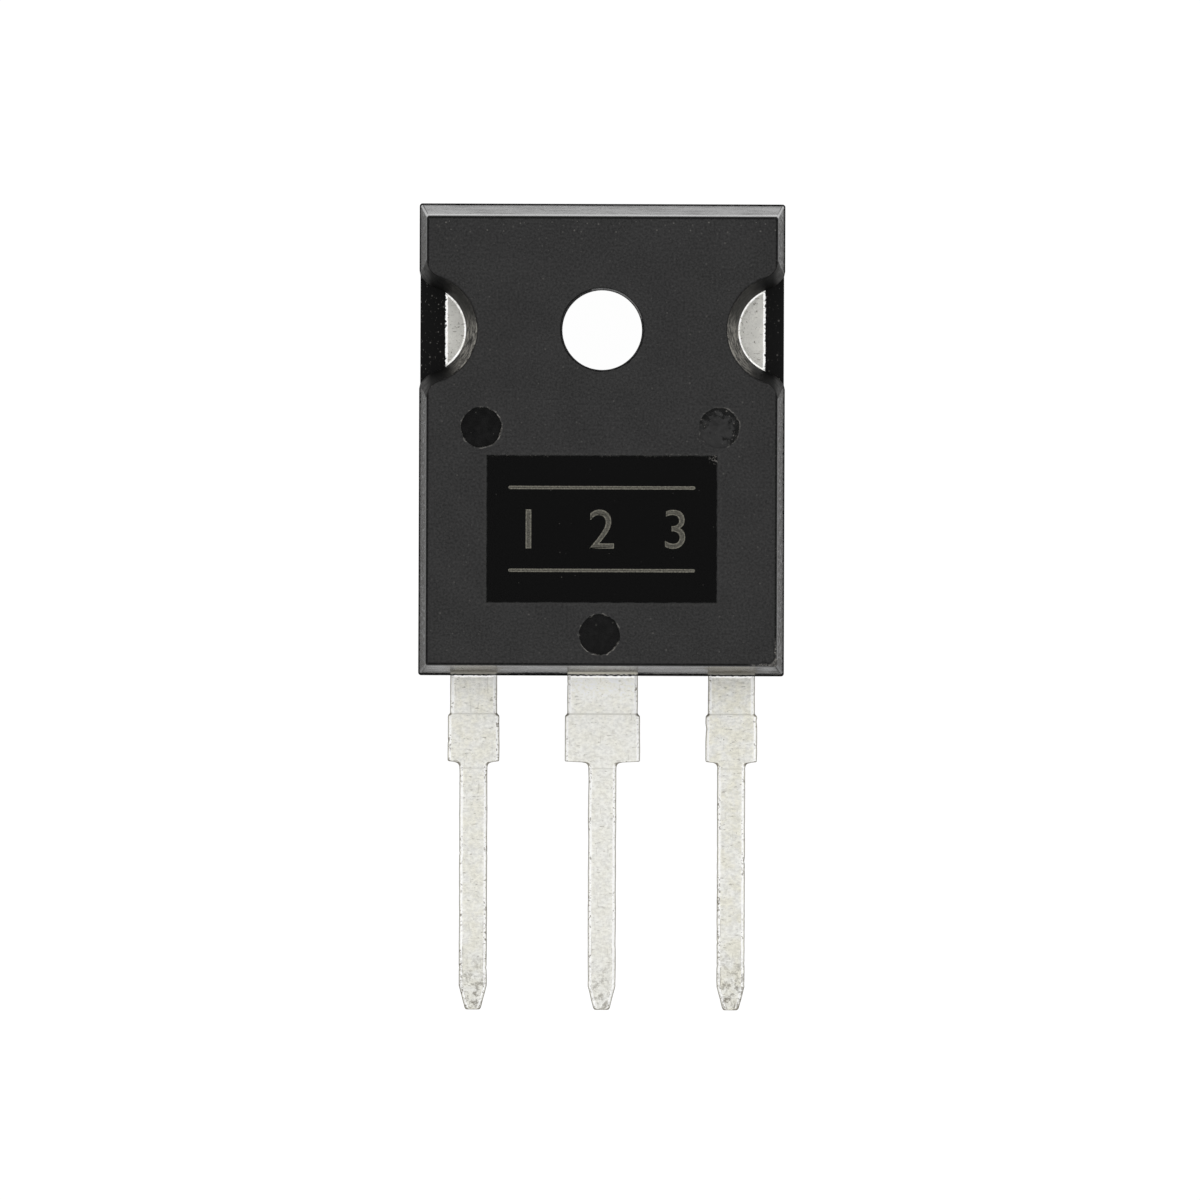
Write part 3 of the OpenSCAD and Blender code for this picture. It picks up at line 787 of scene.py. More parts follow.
def etched_finish(name, colours, shade):
    """Etched numbers: a mottled grey, paler on the rims than inside."""
    made, tree, shader = new_finish(name)
    place, *_ = place_in(tree)
    mottle = cloud(tree, place, 0.07 * MM, 4, roughness=0.7)
    pale, dark = ([factor * shade * c for c in colours.etch] for factor in (1.0, 0.3))
    base = blend(tree, ramp(tree, mottle, 0.34, 0.66), opaque(pale), opaque(dark))
    set_finish(tree, shader, base, 0.8, relief(tree, mottle, 0.006 * MM, 0.6), Specular_IOR_Level=0.3)
    return made


def half_width(tree, y, sizes, root_width):
    """Half width of a lead at each place along it."""
    shoulder_y = body_low.y - sizes.root_length
    pin_y = shoulder_y - sizes.shoulder_length
    pin, shoulder = sizes.pin / 2, root_width / 2 + sizes.shoulder_step
    on_shoulder = ramp(tree, y, pin_y - 0.2 * MM, pin_y)
    on_root = ramp(tree, y, shoulder_y - sizes.shoulder_step, shoulder_y)
    on_tip = ramp(tree, y, lead_low.y + sizes.tip_length, lead_low.y)
    half = plus(tree, pin, product(tree, on_shoulder, shoulder - pin))
    half = minus(tree, half, product(tree, on_root, sizes.shoulder_step))
    return minus(tree, half, product(tree, on_tip, (sizes.pin - sizes.tip) / 2))


def lead_dirt_and_shade(tree, place, y, from_edge, level, edge, steep, hammered, seed, stained):
    """Marks on a lead: spots, scratches, pits in its edges, a dull tip, a worn line, marks of the tool,
    darker towards the body on the more stained leads, and painted shade on its steep sides and ends.
    """
    spotted = cloud(tree, place, 0.13 * MM, 5, offset=(seed, 5, 1), roughness=0.75)
    spots = product(tree, level, ramp(tree, spotted, 0.625, 0.7), 0.3 + 0.45 * stained)
    tall = cloud(tree, place, 0.12 * MM, 3, stretch=(1, 0.12, 1), offset=(seed, 0.37 * seed, 0))
    threads = product(tree, level, ramp(tree, tall, 0.64, 0.7), 0.2)
    short = cloud(tree, place, 0.09 * MM, 3, stretch=(0.3, 1, 1), offset=(seed, 2, 4))
    dashes = product(tree, level, ramp(tree, short, 0.63, 0.71), 0.3 + 0.25 * stained)
    notched = cloud(tree, place, 0.12 * MM, 4, offset=(2 * seed, 1, 0), roughness=0.7)
    clusters = ramp(tree, cloud(tree, place, 1.1 * MM, 3, offset=(seed, 3, 0)), 0.42, 0.56, 0.15, 1.0)
    pitted = highest(tree, edge, steep, ramp(tree, from_edge, 0.12 * MM, 0.07 * MM))
    dented = ramp(tree, notched, 0.555 - 0.05 * stained, 0.605)
    pits = product(tree, pitted, dented, clusters, 0.8 + 0.15 * stained)
    tip_y = lead_low.y
    smudge = cloud(tree, place, 0.3 * MM, 5, offset=(0, seed, 0), roughness=0.75)
    at_tip = ramp(tree, y, tip_y + 3.4 * MM, tip_y + 0.2 * MM)
    tip = product(tree, at_tip, ramp(tree, smudge, 0.47, 0.62), 0.4 + 0.45 * stained)
    root = product(tree, ramp(tree, y, body_low.y - 1.5 * MM, body_low.y), 0.08 * max(0.0, stained - 0.4))
    beside_line = unsigned(tree, minus(tree, from_edge, 0.145 * MM))
    worn_line = product(
        tree,
        level,
        ramp(tree, beside_line, 0.05 * MM, 0.015 * MM),
        ramp(tree, y, tip_y + 6 * MM, tip_y + 1.5 * MM),
        ramp(tree, cloud(tree, place, 0.25 * MM, 4, stretch=(1, 0.5, 1), offset=(seed, 0, 7)), 0.45, 0.6),
        0.35 + 0.4 * stained,
    )
    lines = []
    for below_body, strength in ((1.62 * MM, 0.4), (3.93 * MM, 0.22)):
        gap = unsigned(tree, minus(tree, y, body_low.y - below_body))
        broken = ramp(tree, hammered, 0.35, 0.6, 0.1, strength)
        lines.append(product(tree, ramp(tree, gap, 0.045 * MM, 0.015 * MM), broken))
    # Painted shade: a dark outline on the lead's steep sides and ends.
    sides = product(tree, steep, 0.85)
    return highest(tree, spots, threads, dashes, pits, tip, root, worn_line, *lines, sides)


def tin_finish(name, colours, sizes, centre_x, root_width, seed, stained=0.5, warm=0.0):
    """Tin plating on a lead: mottled and scratched, dull and dirty at its tip, with painted highlights on its
    edges, painted light near the body, painted shade on its steep sides and a painted shadow where it leaves
    the body.
    """
    # The white paints the highlights; the very dark colour paints the shadow at the body.
    white, shadow_black = (0.98, 0.98, 0.97, 1), (0.006, 0.006, 0.006, 1)
    made, tree, shader = new_finish(name)
    place, x, y, _ = place_in(tree)
    normal = facing(tree)
    shift = (seed, 0.37 * seed, 0)
    grain = cloud(tree, place, 0.06 * MM, 4, offset=shift, roughness=0.65)
    mottle = cloud(tree, place, 0.6 * MM, 4, offset=shift, roughness=0.6)
    level = ramp(tree, normal[2], 0.9, 0.99)
    edge = product(tree, ramp(tree, normal[2], 0.74, 0.86), ramp(tree, normal[2], 0.97, 0.9))
    endwards = ramp(tree, unsigned(tree, normal[1]), 0.12, 0.3)
    steep_ends = product(tree, endwards, ramp(tree, normal[2], 0.92, 0.7))
    steep = highest(tree, ramp(tree, normal[2], 0.78, 0.54), steep_ends)
    fading = (0.98 - 0.01 * warm, 0.975 - 0.02 * warm, 0.955 - 0.07 * warm)
    yellowed = [factor * part for factor, part in zip(fading, colours.tin)]
    plain = blend(tree, ramp(tree, mottle, 0.35, 0.65), opaque(colours.tin), opaque(yellowed))
    hammered = cloud(tree, place, 0.11 * MM, 5, stretch=(0.7, 1, 1), offset=shift, roughness=0.72)
    tone = ramp(tree, hammered, 0.32, 0.68, 0.87 - 0.05 * stained, 1.1 - 0.04 * stained)
    # Painted light near the body, against the body's shade: lighter on the centre lead, a little darker on
    # the right lead.
    painted_lift_near_body = ramp(tree, y, body_low.y - 1.7 * MM, body_low.y - 0.3 * MM)
    tone = plus(tree, tone, product(tree, painted_lift_near_body, 0.36 * (0.9 - stained)))
    # Painted highlights: white on the edge bevels, in a line beside the body and in bands along the edges.
    edge_highlight = product(tree, edge, minus(tree, 1.0, endwards))
    crumbly = ramp(tree, cloud(tree, place, 0.13 * MM, 3, offset=shift), 0.3, 0.7, -0.016 * MM, 0.016 * MM)
    from_body = plus(tree, minus(tree, y, body_low.y), crumbly)
    body_line_highlight = product(tree, ramp(tree, from_body, -0.08 * MM, -0.04 * MM), 0.9)
    from_edge = minus(tree, half_width(tree, y, sizes, root_width), unsigned(tree, minus(tree, x, centre_x)))
    blotches = cloud(tree, place, 0.5 * MM, 4, stretch=(1, 0.5, 1), offset=(seed, 8, 0))
    patchy = ramp(tree, blotches, 0.36, 0.52, 0.4, 1.0)
    patchy = highest(tree, patchy, ramp(tree, y, body_low.y - 1.9 * MM, body_low.y - 1.5 * MM))
    rootwards = ramp(tree, y, body_low.y - 1.72 * MM, body_low.y - 1.6 * MM)
    past_band = minus(tree, from_edge, ramp(tree, rootwards, 0.0, 1.0, 0.11 * MM, 0.165 * MM))
    edge_band_highlight = product(tree, level, ramp(tree, past_band, 0.015 * MM, -0.015 * MM), patchy, 0.95)
    highlight = highest(tree, body_line_highlight, edge_band_highlight)
    base = blend(tree, highest(tree, edge_highlight, highlight), shaded(tree, plain, tone), white)
    slope = ramp(tree, rootwards, 0.0, 1.0, 10.0, 18.0)
    edge_fall = product(tree, level, patchy, slope, ramp(tree, past_band, 0.01 * MM, -0.14 * MM))
    body_rise = product(tree, level, ramp(tree, from_body, -0.09 * MM, -0.01 * MM), 10.0)
    dirt_and_shade = lead_dirt_and_shade(tree, place, y, from_edge, level, edge, steep, hammered, seed, stained)
    in_shadow = ramp(tree, from_body, -0.005 * MM, 0.01 * MM)
    shadow = product(tree, in_shadow, ramp(tree, from_body, 0.07 * MM, 0.055 * MM))
    film = ramp(tree, from_body, 0.055 * MM, 0.07 * MM)
    film_shade = 0.62 - 0.72 * max(0.0, stained - 0.45)
    final = blend(tree, dirt_and_shade, base, opaque(colours.stain_and_shade))
    final = blend(tree, film, final, opaque((film_shade, 0.96 * film_shade, 0.82 * film_shade)))
    final = blend(tree, shadow, final, shadow_black)
    rough = plus(tree, ramp(tree, grain, 0.25, 0.75, 0.46, 0.6), product(tree, dirt_and_shade, 0.15))
    rough = minus(tree, rough, product(tree, highlight, 0.14))
    heights = plus(tree, product(tree, grain, 0.4), product(tree, hammered, 0.9))
    heights = plus(tree, minus(tree, heights, edge_fall), body_rise)
    set_finish(tree, shader, final, rough, relief(tree, heights, 0.006 * MM, 0.6))
    # The painted highlights and the film are not metallic.
    tree.links.new(ramp(tree, highest(tree, edge_highlight, film), 0.0, 1.0, 1.0, 0.05), shader.inputs["Metallic"])
    return made


def plate_finish(colours, sizes):
    """Tin plating on the heat-sink plate: fine rolled lines, scratches, plastic flash by the notches, and
    painted white highlights along its rims there.
    """
    made, tree, shader = new_finish("plate_tin")
    place, x, y, z = place_in(tree)
    grain = cloud(tree, place, 0.07 * MM, 4, roughness=0.65)
    mottle = cloud(tree, place, 0.9 * MM, 4)
    rolled = cloud(tree, place, 0.09 * MM, 3, stretch=(1, 0.05, 1))
    patches = highest(tree, ramp(tree, mottle, 0.35, 0.65), ramp(tree, grain, 0.4, 0.65, 0.0, 0.9))
    base = blend(tree, patches, opaque(colours.plate_tin), opaque([0.83 * c for c in colours.plate_tin]))
    away, _, _ = away_from(tree, unsigned(tree, x), y, (body_high.x - sizes.notch_inset, 0.0))
    front = ramp(tree, z, 1.9 * MM, 1.98 * MM)
    plate_middle, half_plate = 0.14 * MM, (plate_high.x - plate_low.x) / 2
    from_side = minus(tree, half_plate, unsigned(tree, minus(tree, x, plate_middle)))
    from_arc = minus(tree, sizes.notch_floor, away)
    frayed = ramp(tree, cloud(tree, place, 0.14 * MM, 4, offset=(2, 2, 0)), 0.3, 0.7, -0.04 * MM, 0.04 * MM)
    # Painted highlights: white lines along the plate's side and the notch's arc, where the plate shows in the
    # notches.
    side_highlight_line = ramp(tree, plus(tree, from_side, frayed), 0.14 * MM, 0.09 * MM)
    gaps = ramp(tree, cloud(tree, place, 0.35 * MM, 3, offset=(5, 1, 0)), 0.36, 0.52, 0.25, 1.0)
    arc_highlight_line = product(tree, ramp(tree, plus(tree, from_arc, frayed), 0.08 * MM, 0.045 * MM), gaps)
    highlight = product(tree, front, highest(tree, side_highlight_line, arc_highlight_line))
    base = blend(tree, highlight, base, (0.98, 0.98, 0.97, 1))
    teeth = ramp(tree, cloud(tree, place, 0.16 * MM, 3), 0.3, 0.7, -0.06 * MM, 0.05 * MM)
    flash = product(tree, front, ramp(tree, plus(tree, from_side, teeth), 0.035 * MM, 0.015 * MM))
    scratched = cloud(tree, place, 0.1 * MM, 3, stretch=(0.25, 1, 1), offset=(1, 4, 0))
    scratches = product(tree, ramp(tree, scratched, 0.63, 0.69), 0.55)
    spots = product(tree, ramp(tree, cloud(tree, place, 0.15 * MM, 5, roughness=0.75), 0.585, 0.66), 0.8)
    worn = blend(tree, highest(tree, scratches, spots), base, opaque(colours.stain_and_shade))
    final = blend(tree, flash, worn, opaque(colours.epoxy))
    rough = plus(tree, ramp(tree, grain, 0.25, 0.75, 0.38, 0.54), product(tree, scratches, 0.2))
    heights = plus(tree, product(tree, grain, 0.5), product(tree, rolled, 0.5))
    fall = product(tree, ramp(tree, from_arc, 0.0, 0.08 * MM, 1.0, 0.0), 0.7)
    rise = ramp(tree, from_side, 0.02 * MM, 0.14 * MM)
    lean = product(tree, plus(tree, fall, rise), front, 14.0)
    heights = plus(tree, heights, lean)
    rough = minus(tree, rough, product(tree, highlight, 0.14))
    set_finish(tree, shader, final, rough, relief(tree, heights, 0.006 * MM, 0.8))
    tree.links.new(ramp(tree, flash, 0.0, 1.0, 1.0, 0.0), shader.inputs["Metallic"])
    return made


def inner_finish(name, base_colour, roughness, metallic, size):
    """A part that is sealed in the body: its own colour with a fine mottle."""
    made, tree, shader = new_finish(name)
    place, *_ = place_in(tree)
    mottle = cloud(tree, place, size, 4, roughness=0.6)
    darker = opaque([0.78 * c for c in base_colour])
    base = blend(tree, ramp(tree, mottle, 0.3, 0.7), opaque(base_colour), darker)
    rough = ramp(tree, mottle, 0.2, 0.8, roughness - 0.06, roughness + 0.08)
    set_finish(tree, shader, base, rough, relief(tree, mottle, 0.004 * MM, 0.5), Metallic=metallic)
    return made


def body_block(sizes):
    """The body without its openings: a cube parted at the mould's line, drafted both ways and rounded."""
    middle_y = (body_low.y + body_high.y) / 2
    width, along, height = body_high - body_low
    deselect_everything()
    bpy.ops.mesh.primitive_cube_add(
        size=1, location=(0, middle_y, height / 2), scale=(width, along, height)
    )
    block = settle(bpy.context.object, "moulded_body")
    edit(block)
    pick(block, "edges", lambda e: abs(e.verts[0].co.z - e.verts[1].co.z) > 1 * MM)
    bpy.ops.mesh.bevel(offset=sizes.corner_round, segments=4, affect="EDGES")
    bpy.ops.mesh.select_all(action="SELECT")
    bpy.ops.mesh.bisect(plane_co=(0, 0, sizes.parting), plane_no=(0, 0, 1))
    bpy.ops.mesh.select_all(action="SELECT")
    seam_level = (0, 0, sizes.parting + sizes.seam_height)
    bpy.ops.mesh.bisect(plane_co=seam_level, plane_no=(0, 0, 1), threshold=1e-7)
    centre = (0, middle_y, 0)
    pick(block, "verts", lambda v: v.co.z > sizes.parting + 0.5 * sizes.seam_height)
    seam_width, seam_length = width - 2 * sizes.seam, along - 2 * sizes.seam
    resize_by((seam_width / width, seam_length / along, 1), centre)
    pick(block, "verts", lambda v: v.co.z > height - 1e-6)
    front_length = along - sizes.inset_top - sizes.inset_bottom
    resize_by(((width - 2 * sizes.inset_side) / seam_width, front_length / seam_length, 1), centre)
    move_by((0, (sizes.inset_bottom - sizes.inset_top) / 2, 0))
    pick(block, "verts", lambda v: abs(v.co.z - seam_level[2]) < 1e-6 and v.co.y < middle_y)
    move_by((0, sizes.seam_foot, 0))
    pick(block, "verts", lambda v: v.co.z < 1e-6)
    resize_by((1 - 2 * sizes.inset_back / width, 1 - 2 * sizes.inset_back / along, 1), centre)
    pick(block, "edges", lambda e: min(v.co.z for v in e.verts) > height - 1e-6)
    bpy.ops.mesh.bevel(offset=sizes.edge_round, segments=3, affect="EDGES")
    pick(block, "edges", lambda e: max(v.co.z for v in e.verts) < 1e-6)
    bpy.ops.mesh.bevel(offset=0.6 * sizes.edge_round, segments=2, affect="EDGES")
    return leave(block)


def bore_cutter(sizes):
    """A cylinder for the mounting hole, flared where the hole's two edges are rounded."""
    deselect_everything()
    height = body_high.z
    bpy.ops.mesh.primitive_cylinder_add(
        vertices=144, radius=sizes.hole / 2, depth=height, location=(0, 0, height / 2)
    )
    cutter = settle(bpy.context.object, "bore_cutter")
    edit(cutter)
    bpy.ops.mesh.select_all(action="SELECT")
    bpy.ops.mesh.bisect(plane_co=(0, 0, sizes.parting), plane_no=(0, 0, 1))
    pick(cutter, "verts", lambda v: abs(v.co.z - sizes.parting) < 1e-6)
    waist = 1 - 2 * sizes.hole_draft / sizes.hole
    resize_by((waist, waist, 1), (0, 0, 0))
    bpy.ops.mesh.select_all(action="SELECT")
    bpy.ops.mesh.bisect(plane_co=(0, 0, sizes.gloss_start), plane_no=(0, 0, 1))
    for level, way in ((height, 1), (0.0, -1)):
        pick(cutter, "verts", lambda v: abs(v.co.z - level) < 1e-6)
        move_by((0, 0, -way * sizes.edge_round))
        for rise, grow in ((0.6, 0.12), (0.4, 0.45), (2.0, 2.0)):
            pick(cutter, "faces", lambda f: f.normal.z * way > 0.9)
            extrude_by((0, 0, way * rise * sizes.edge_round))
            factor = 1 + 2 * grow * sizes.edge_round / sizes.hole
            resize_by((factor, factor, 1), (0, 0, 0))
    return leave(cutter)


def notch_cutter(sizes, side):
    """The space of a side notch: a leaning edge spun round the notch and back round its two blends."""
    floor, top = sizes.notch_level, body_high.z
    slope = (sizes.notch_front - sizes.notch_floor) / (top - floor)
    centre = Vector((body_high.x - sizes.notch_inset, 0, 0))
    blend_x = body_high.x - sizes.inset_side - sizes.notch_blend
    reach = sizes.notch_front + sizes.notch_blend
    blend_y = math.sqrt(reach**2 - (centre.x - blend_x) ** 2)
    blend_centre = Vector((blend_x, blend_y, 0))
    way = (blend_centre - centre).normalized()
    lip = sizes.edge_round
    profile = [
        (floor, 0.0),
        (top - lip, slope * (top - lip - floor)),
        (top - 0.4 * lip, slope * (top - 0.4 * lip - floor) + 0.12 * lip),
        (top, slope * (top - floor) + 0.55 * lip),
        (top + 0.3 * MM, slope * (top - floor) + 0.55 * lip + 0.3 * MM),
    ]
    deselect_everything()
    start = centre + way * sizes.notch_floor + Vector((0, 0, floor))
    bpy.ops.mesh.primitive_plane_add(size=0.1 * MM, location=start)
    cutter = settle(bpy.context.object, "notch_cutter")
    edit(cutter)
    bpy.ops.mesh.select_all(action="SELECT")
    bpy.ops.mesh.merge(type="CENTER")
    for (z0, out0), (z1, out1) in zip(profile, profile[1:]):
        extrude_by(way * (out1 - out0) + Vector((0, 0, z1 - z0)))
        pick(cutter, "verts", lambda v: abs(v.co.z - z1) < 1e-7)
    turn = math.pi - math.atan2(way.y, way.x)
    bpy.ops.mesh.select_all(action="SELECT")
    bpy.ops.mesh.spin(steps=96, angle=-2 * turn, center=centre, axis=(0, 0, 1))
    bpy.ops.mesh.spin(steps=32, angle=turn, center=blend_centre * Vector((1, -1, 1)), axis=(0, 0, 1))
    extrude_by((1.5 * MM, 0, 0))
    pick(cutter, "verts", lambda v: abs((v.co - centre).xy.cross(way.xy)) < 1e-8 and v.co.y > 0)
    bpy.ops.mesh.spin(steps=32, angle=-turn, center=blend_centre, axis=(0, 0, 1))
    extrude_by((1.5 * MM, 0, 0))
    outer_x = body_high.x + 0.5 * MM
    pick(cutter, "edges", lambda e: e.is_boundary and min(v.co.x for v in e.verts) > outer_x)
    bpy.ops.mesh.bridge_edge_loops()
    for level in (profile[0][0], profile[-1][0]):
        pick(cutter, "edges", lambda e: e.is_boundary and max(abs(v.co.z - level) for v in e.verts) < 1e-7)
        bpy.ops.mesh.edge_face_add()
    bpy.ops.mesh.select_all(action="SELECT")
    if side < 0:
        bpy.ops.transform.mirror(constraint_axis=(True, False, False), center_override=(0, 0, 0))
    bpy.ops.mesh.normals_make_consistent(inside=False)
    return leave(cutter)


def mark_cutter(sizes, place, depth, seed):
    """A ragged disc for an ejector mark."""
    deselect_everything()
    top = body_high.z
    height = depth + 0.2 * MM
    bpy.ops.mesh.primitive_cylinder_add(
        vertices=120, radius=sizes.mark / 2, depth=height, location=(*place, top - depth + height / 2)
    )
    cutter = settle(bpy.context.object, "mark_cutter")
    for v in cutter.data.vertices:
        out = Vector((v.co.x - place[0], v.co.y - place[1], 0)).normalized()
        coarse = noise.noise(Vector((2.2 * out.x + seed, 2.2 * out.y, 0)))
        fine = noise.noise(Vector((9 * out.x, 9 * out.y + seed, 3)))
        v.co += out * sizes.mark_fray * (coarse + 0.8 * fine)
    return cutter


def field_cutter(sizes):
    """A low block for the marking field, its upright corners a little round."""
    middle, half = field_place(sizes)
    height, corner_round = 0.2 * MM, 0.06 * MM
    deselect_everything()
    bpy.ops.mesh.primitive_cube_add(
        size=1,
        location=(*middle, body_high.z - sizes.field_depth + height / 2),
        scale=(2 * half[0], 2 * half[1], height),
    )
    cutter = settle(bpy.context.object, "field_cutter")
    edit(cutter)
    pick(cutter, "edges", lambda e: abs(e.verts[0].co.z - e.verts[1].co.z) > 0.1 * MM)
    bpy.ops.mesh.bevel(offset=corner_round, segments=4, affect="EDGES")
    return leave(cutter)


def chip_cutter(sizes):
    """A flattened, roughened ball that wears off the front face's lower right corner."""
    deselect_everything()
    bpy.ops.mesh.primitive_ico_sphere_add(
        subdivisions=5,
        radius=1,
        location=(body_high.x + 0.15 * MM, body_low.y - 0.1 * MM, body_high.z),
        scale=(sizes.chip, sizes.chip, sizes.chip_depth),
    )
    cutter = settle(bpy.context.object, "chip_cutter")
    for v in cutter.data.vertices:
        spot = v.co / (0.3 * MM)
        across, along = noise.noise(spot), noise.noise(spot + Vector((7, 0, 0)))
        v.co += Vector((across, along, 0.35 * noise.noise(3 * spot))) * 0.07 * MM
    return cutter


def give(piece, *finishes):
    """Gives a piece its finishes."""
    piece.data.materials.clear()
    for made in finishes:
        piece.data.materials.append(made)
    return piece


def inner_cutters(finish):
    """Copies of all that is moulded into the body, to cut their spaces with."""
    for node in sorted(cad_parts):
        if node != "mold_body":
            yield give(packed_copy(node, node + "_space"), finish)


def pick_cut_ring(piece, level_y):
    """Selects the open ring of a lead that was cut off level."""
    return pick(piece, "verts", lambda v: abs(v.co.y - level_y) < 1e-7 and v.is_boundary)


def lead_stations(sizes, root_width):
    """Place along the lead and half width at each station, from the body down to the tip."""
    root, pin, tip = root_width / 2, sizes.pin / 2, sizes.tip / 2
    shoulder = root + sizes.shoulder_step
    start_y = body_low.y - sizes.kept
    shoulder_y = body_low.y - sizes.root_length
    pin_y = shoulder_y - sizes.shoulder_length
    fillet = sizes.pin_fillet
    tip_y = lead_low.y
    stations = []

    def run(y0, y1, half0, half1):
        count = max(1, round((y0 - y1) / sizes.station))
        for i in range(1, count + 1):
            stations.append((y0 + (y1 - y0) * i / count, half0 + (half1 - half0) * i / count))

    run(start_y, shoulder_y, root, root)
    run(shoulder_y, shoulder_y - sizes.shoulder_step, root, shoulder)
    run(shoulder_y - sizes.shoulder_step, pin_y, shoulder, shoulder)
    fillet_y = pin_y - 0.04 * MM
    stations.append((fillet_y, pin + 0.8 * fillet))
    for turn in (30, 48, 66, 90):
        bend = math.radians(turn)
        stations.append((fillet_y - fillet * (1 - math.cos(bend)), pin + fillet * (1 - math.sin(bend))))
    run(fillet_y - fillet, tip_y + sizes.tip_length, pin, pin)
    run(tip_y + sizes.tip_length, tip_y + 0.09 * MM, pin, tip + 0.05 * MM)
    stations.append((tip_y, tip))
    return stations


def worn_edge(sizes, y, seed, nicked):
    """How far a sheared edge stands in from its straight line."""
    waver = noise.noise(Vector((seed, y / (0.9 * MM), 0)))
    waver += 0.6 * noise.noise(Vector((seed, y / (0.3 * MM), 5)))
    dent = noise.noise(Vector((seed + 3.3, y / (0.24 * MM), 1)))
    nick = max(0.0, dent - 0.62 + 0.3 * nicked) * 2.2 * sizes.nick
    fade = min(1.0, max(0.0, (body_low.y - sizes.kept - y) / (0.4 * MM)))
    return (waver * sizes.wear - nick) * fade


def draw_lead(piece, sizes, centre_x, root_width, seed, nicked):
    """Cuts a packed lead off below the body and draws it out again, station by station, to its tip."""
    level_y = body_low.y - sizes.kept
    edit(piece)
    bpy.ops.mesh.select_all(action="SELECT")
    bpy.ops.mesh.bisect(plane_co=(0, level_y, 0), plane_no=(0, -1, 0), clear_outer=True)
    pick_cut_ring(piece, level_y)
    y = level_y
    sides = {-1: root_width / 2, 1: root_width / 2}
    for station_y, half in lead_stations(sizes, root_width):
        extrude_by((0, station_y - y, 0))
        target = {way: half + worn_edge(sizes, station_y, seed + 20 * way, nicked) for way in (-1, 1)}
        mesh = bmesh.from_edit_mesh(piece.data)
        for v in mesh.verts:
            if v.select:
                way = 1 if v.co.x > centre_x else -1
                v.co.x += way * (target[way] - sides[way])
        sides = target
        y = station_y
    bpy.ops.mesh.edge_face_add()
    bpy.ops.mesh.select_all(action="SELECT")
    bpy.ops.mesh.normals_make_consistent(inside=False)
    leave(piece)
    return use_modifier(
        piece,
        "BEVEL",
        width=sizes.edge_round,
        segments=2,
        limit_method="ANGLE",
        angle_limit=math.radians(26),
        use_clamp_overlap=False,
    )


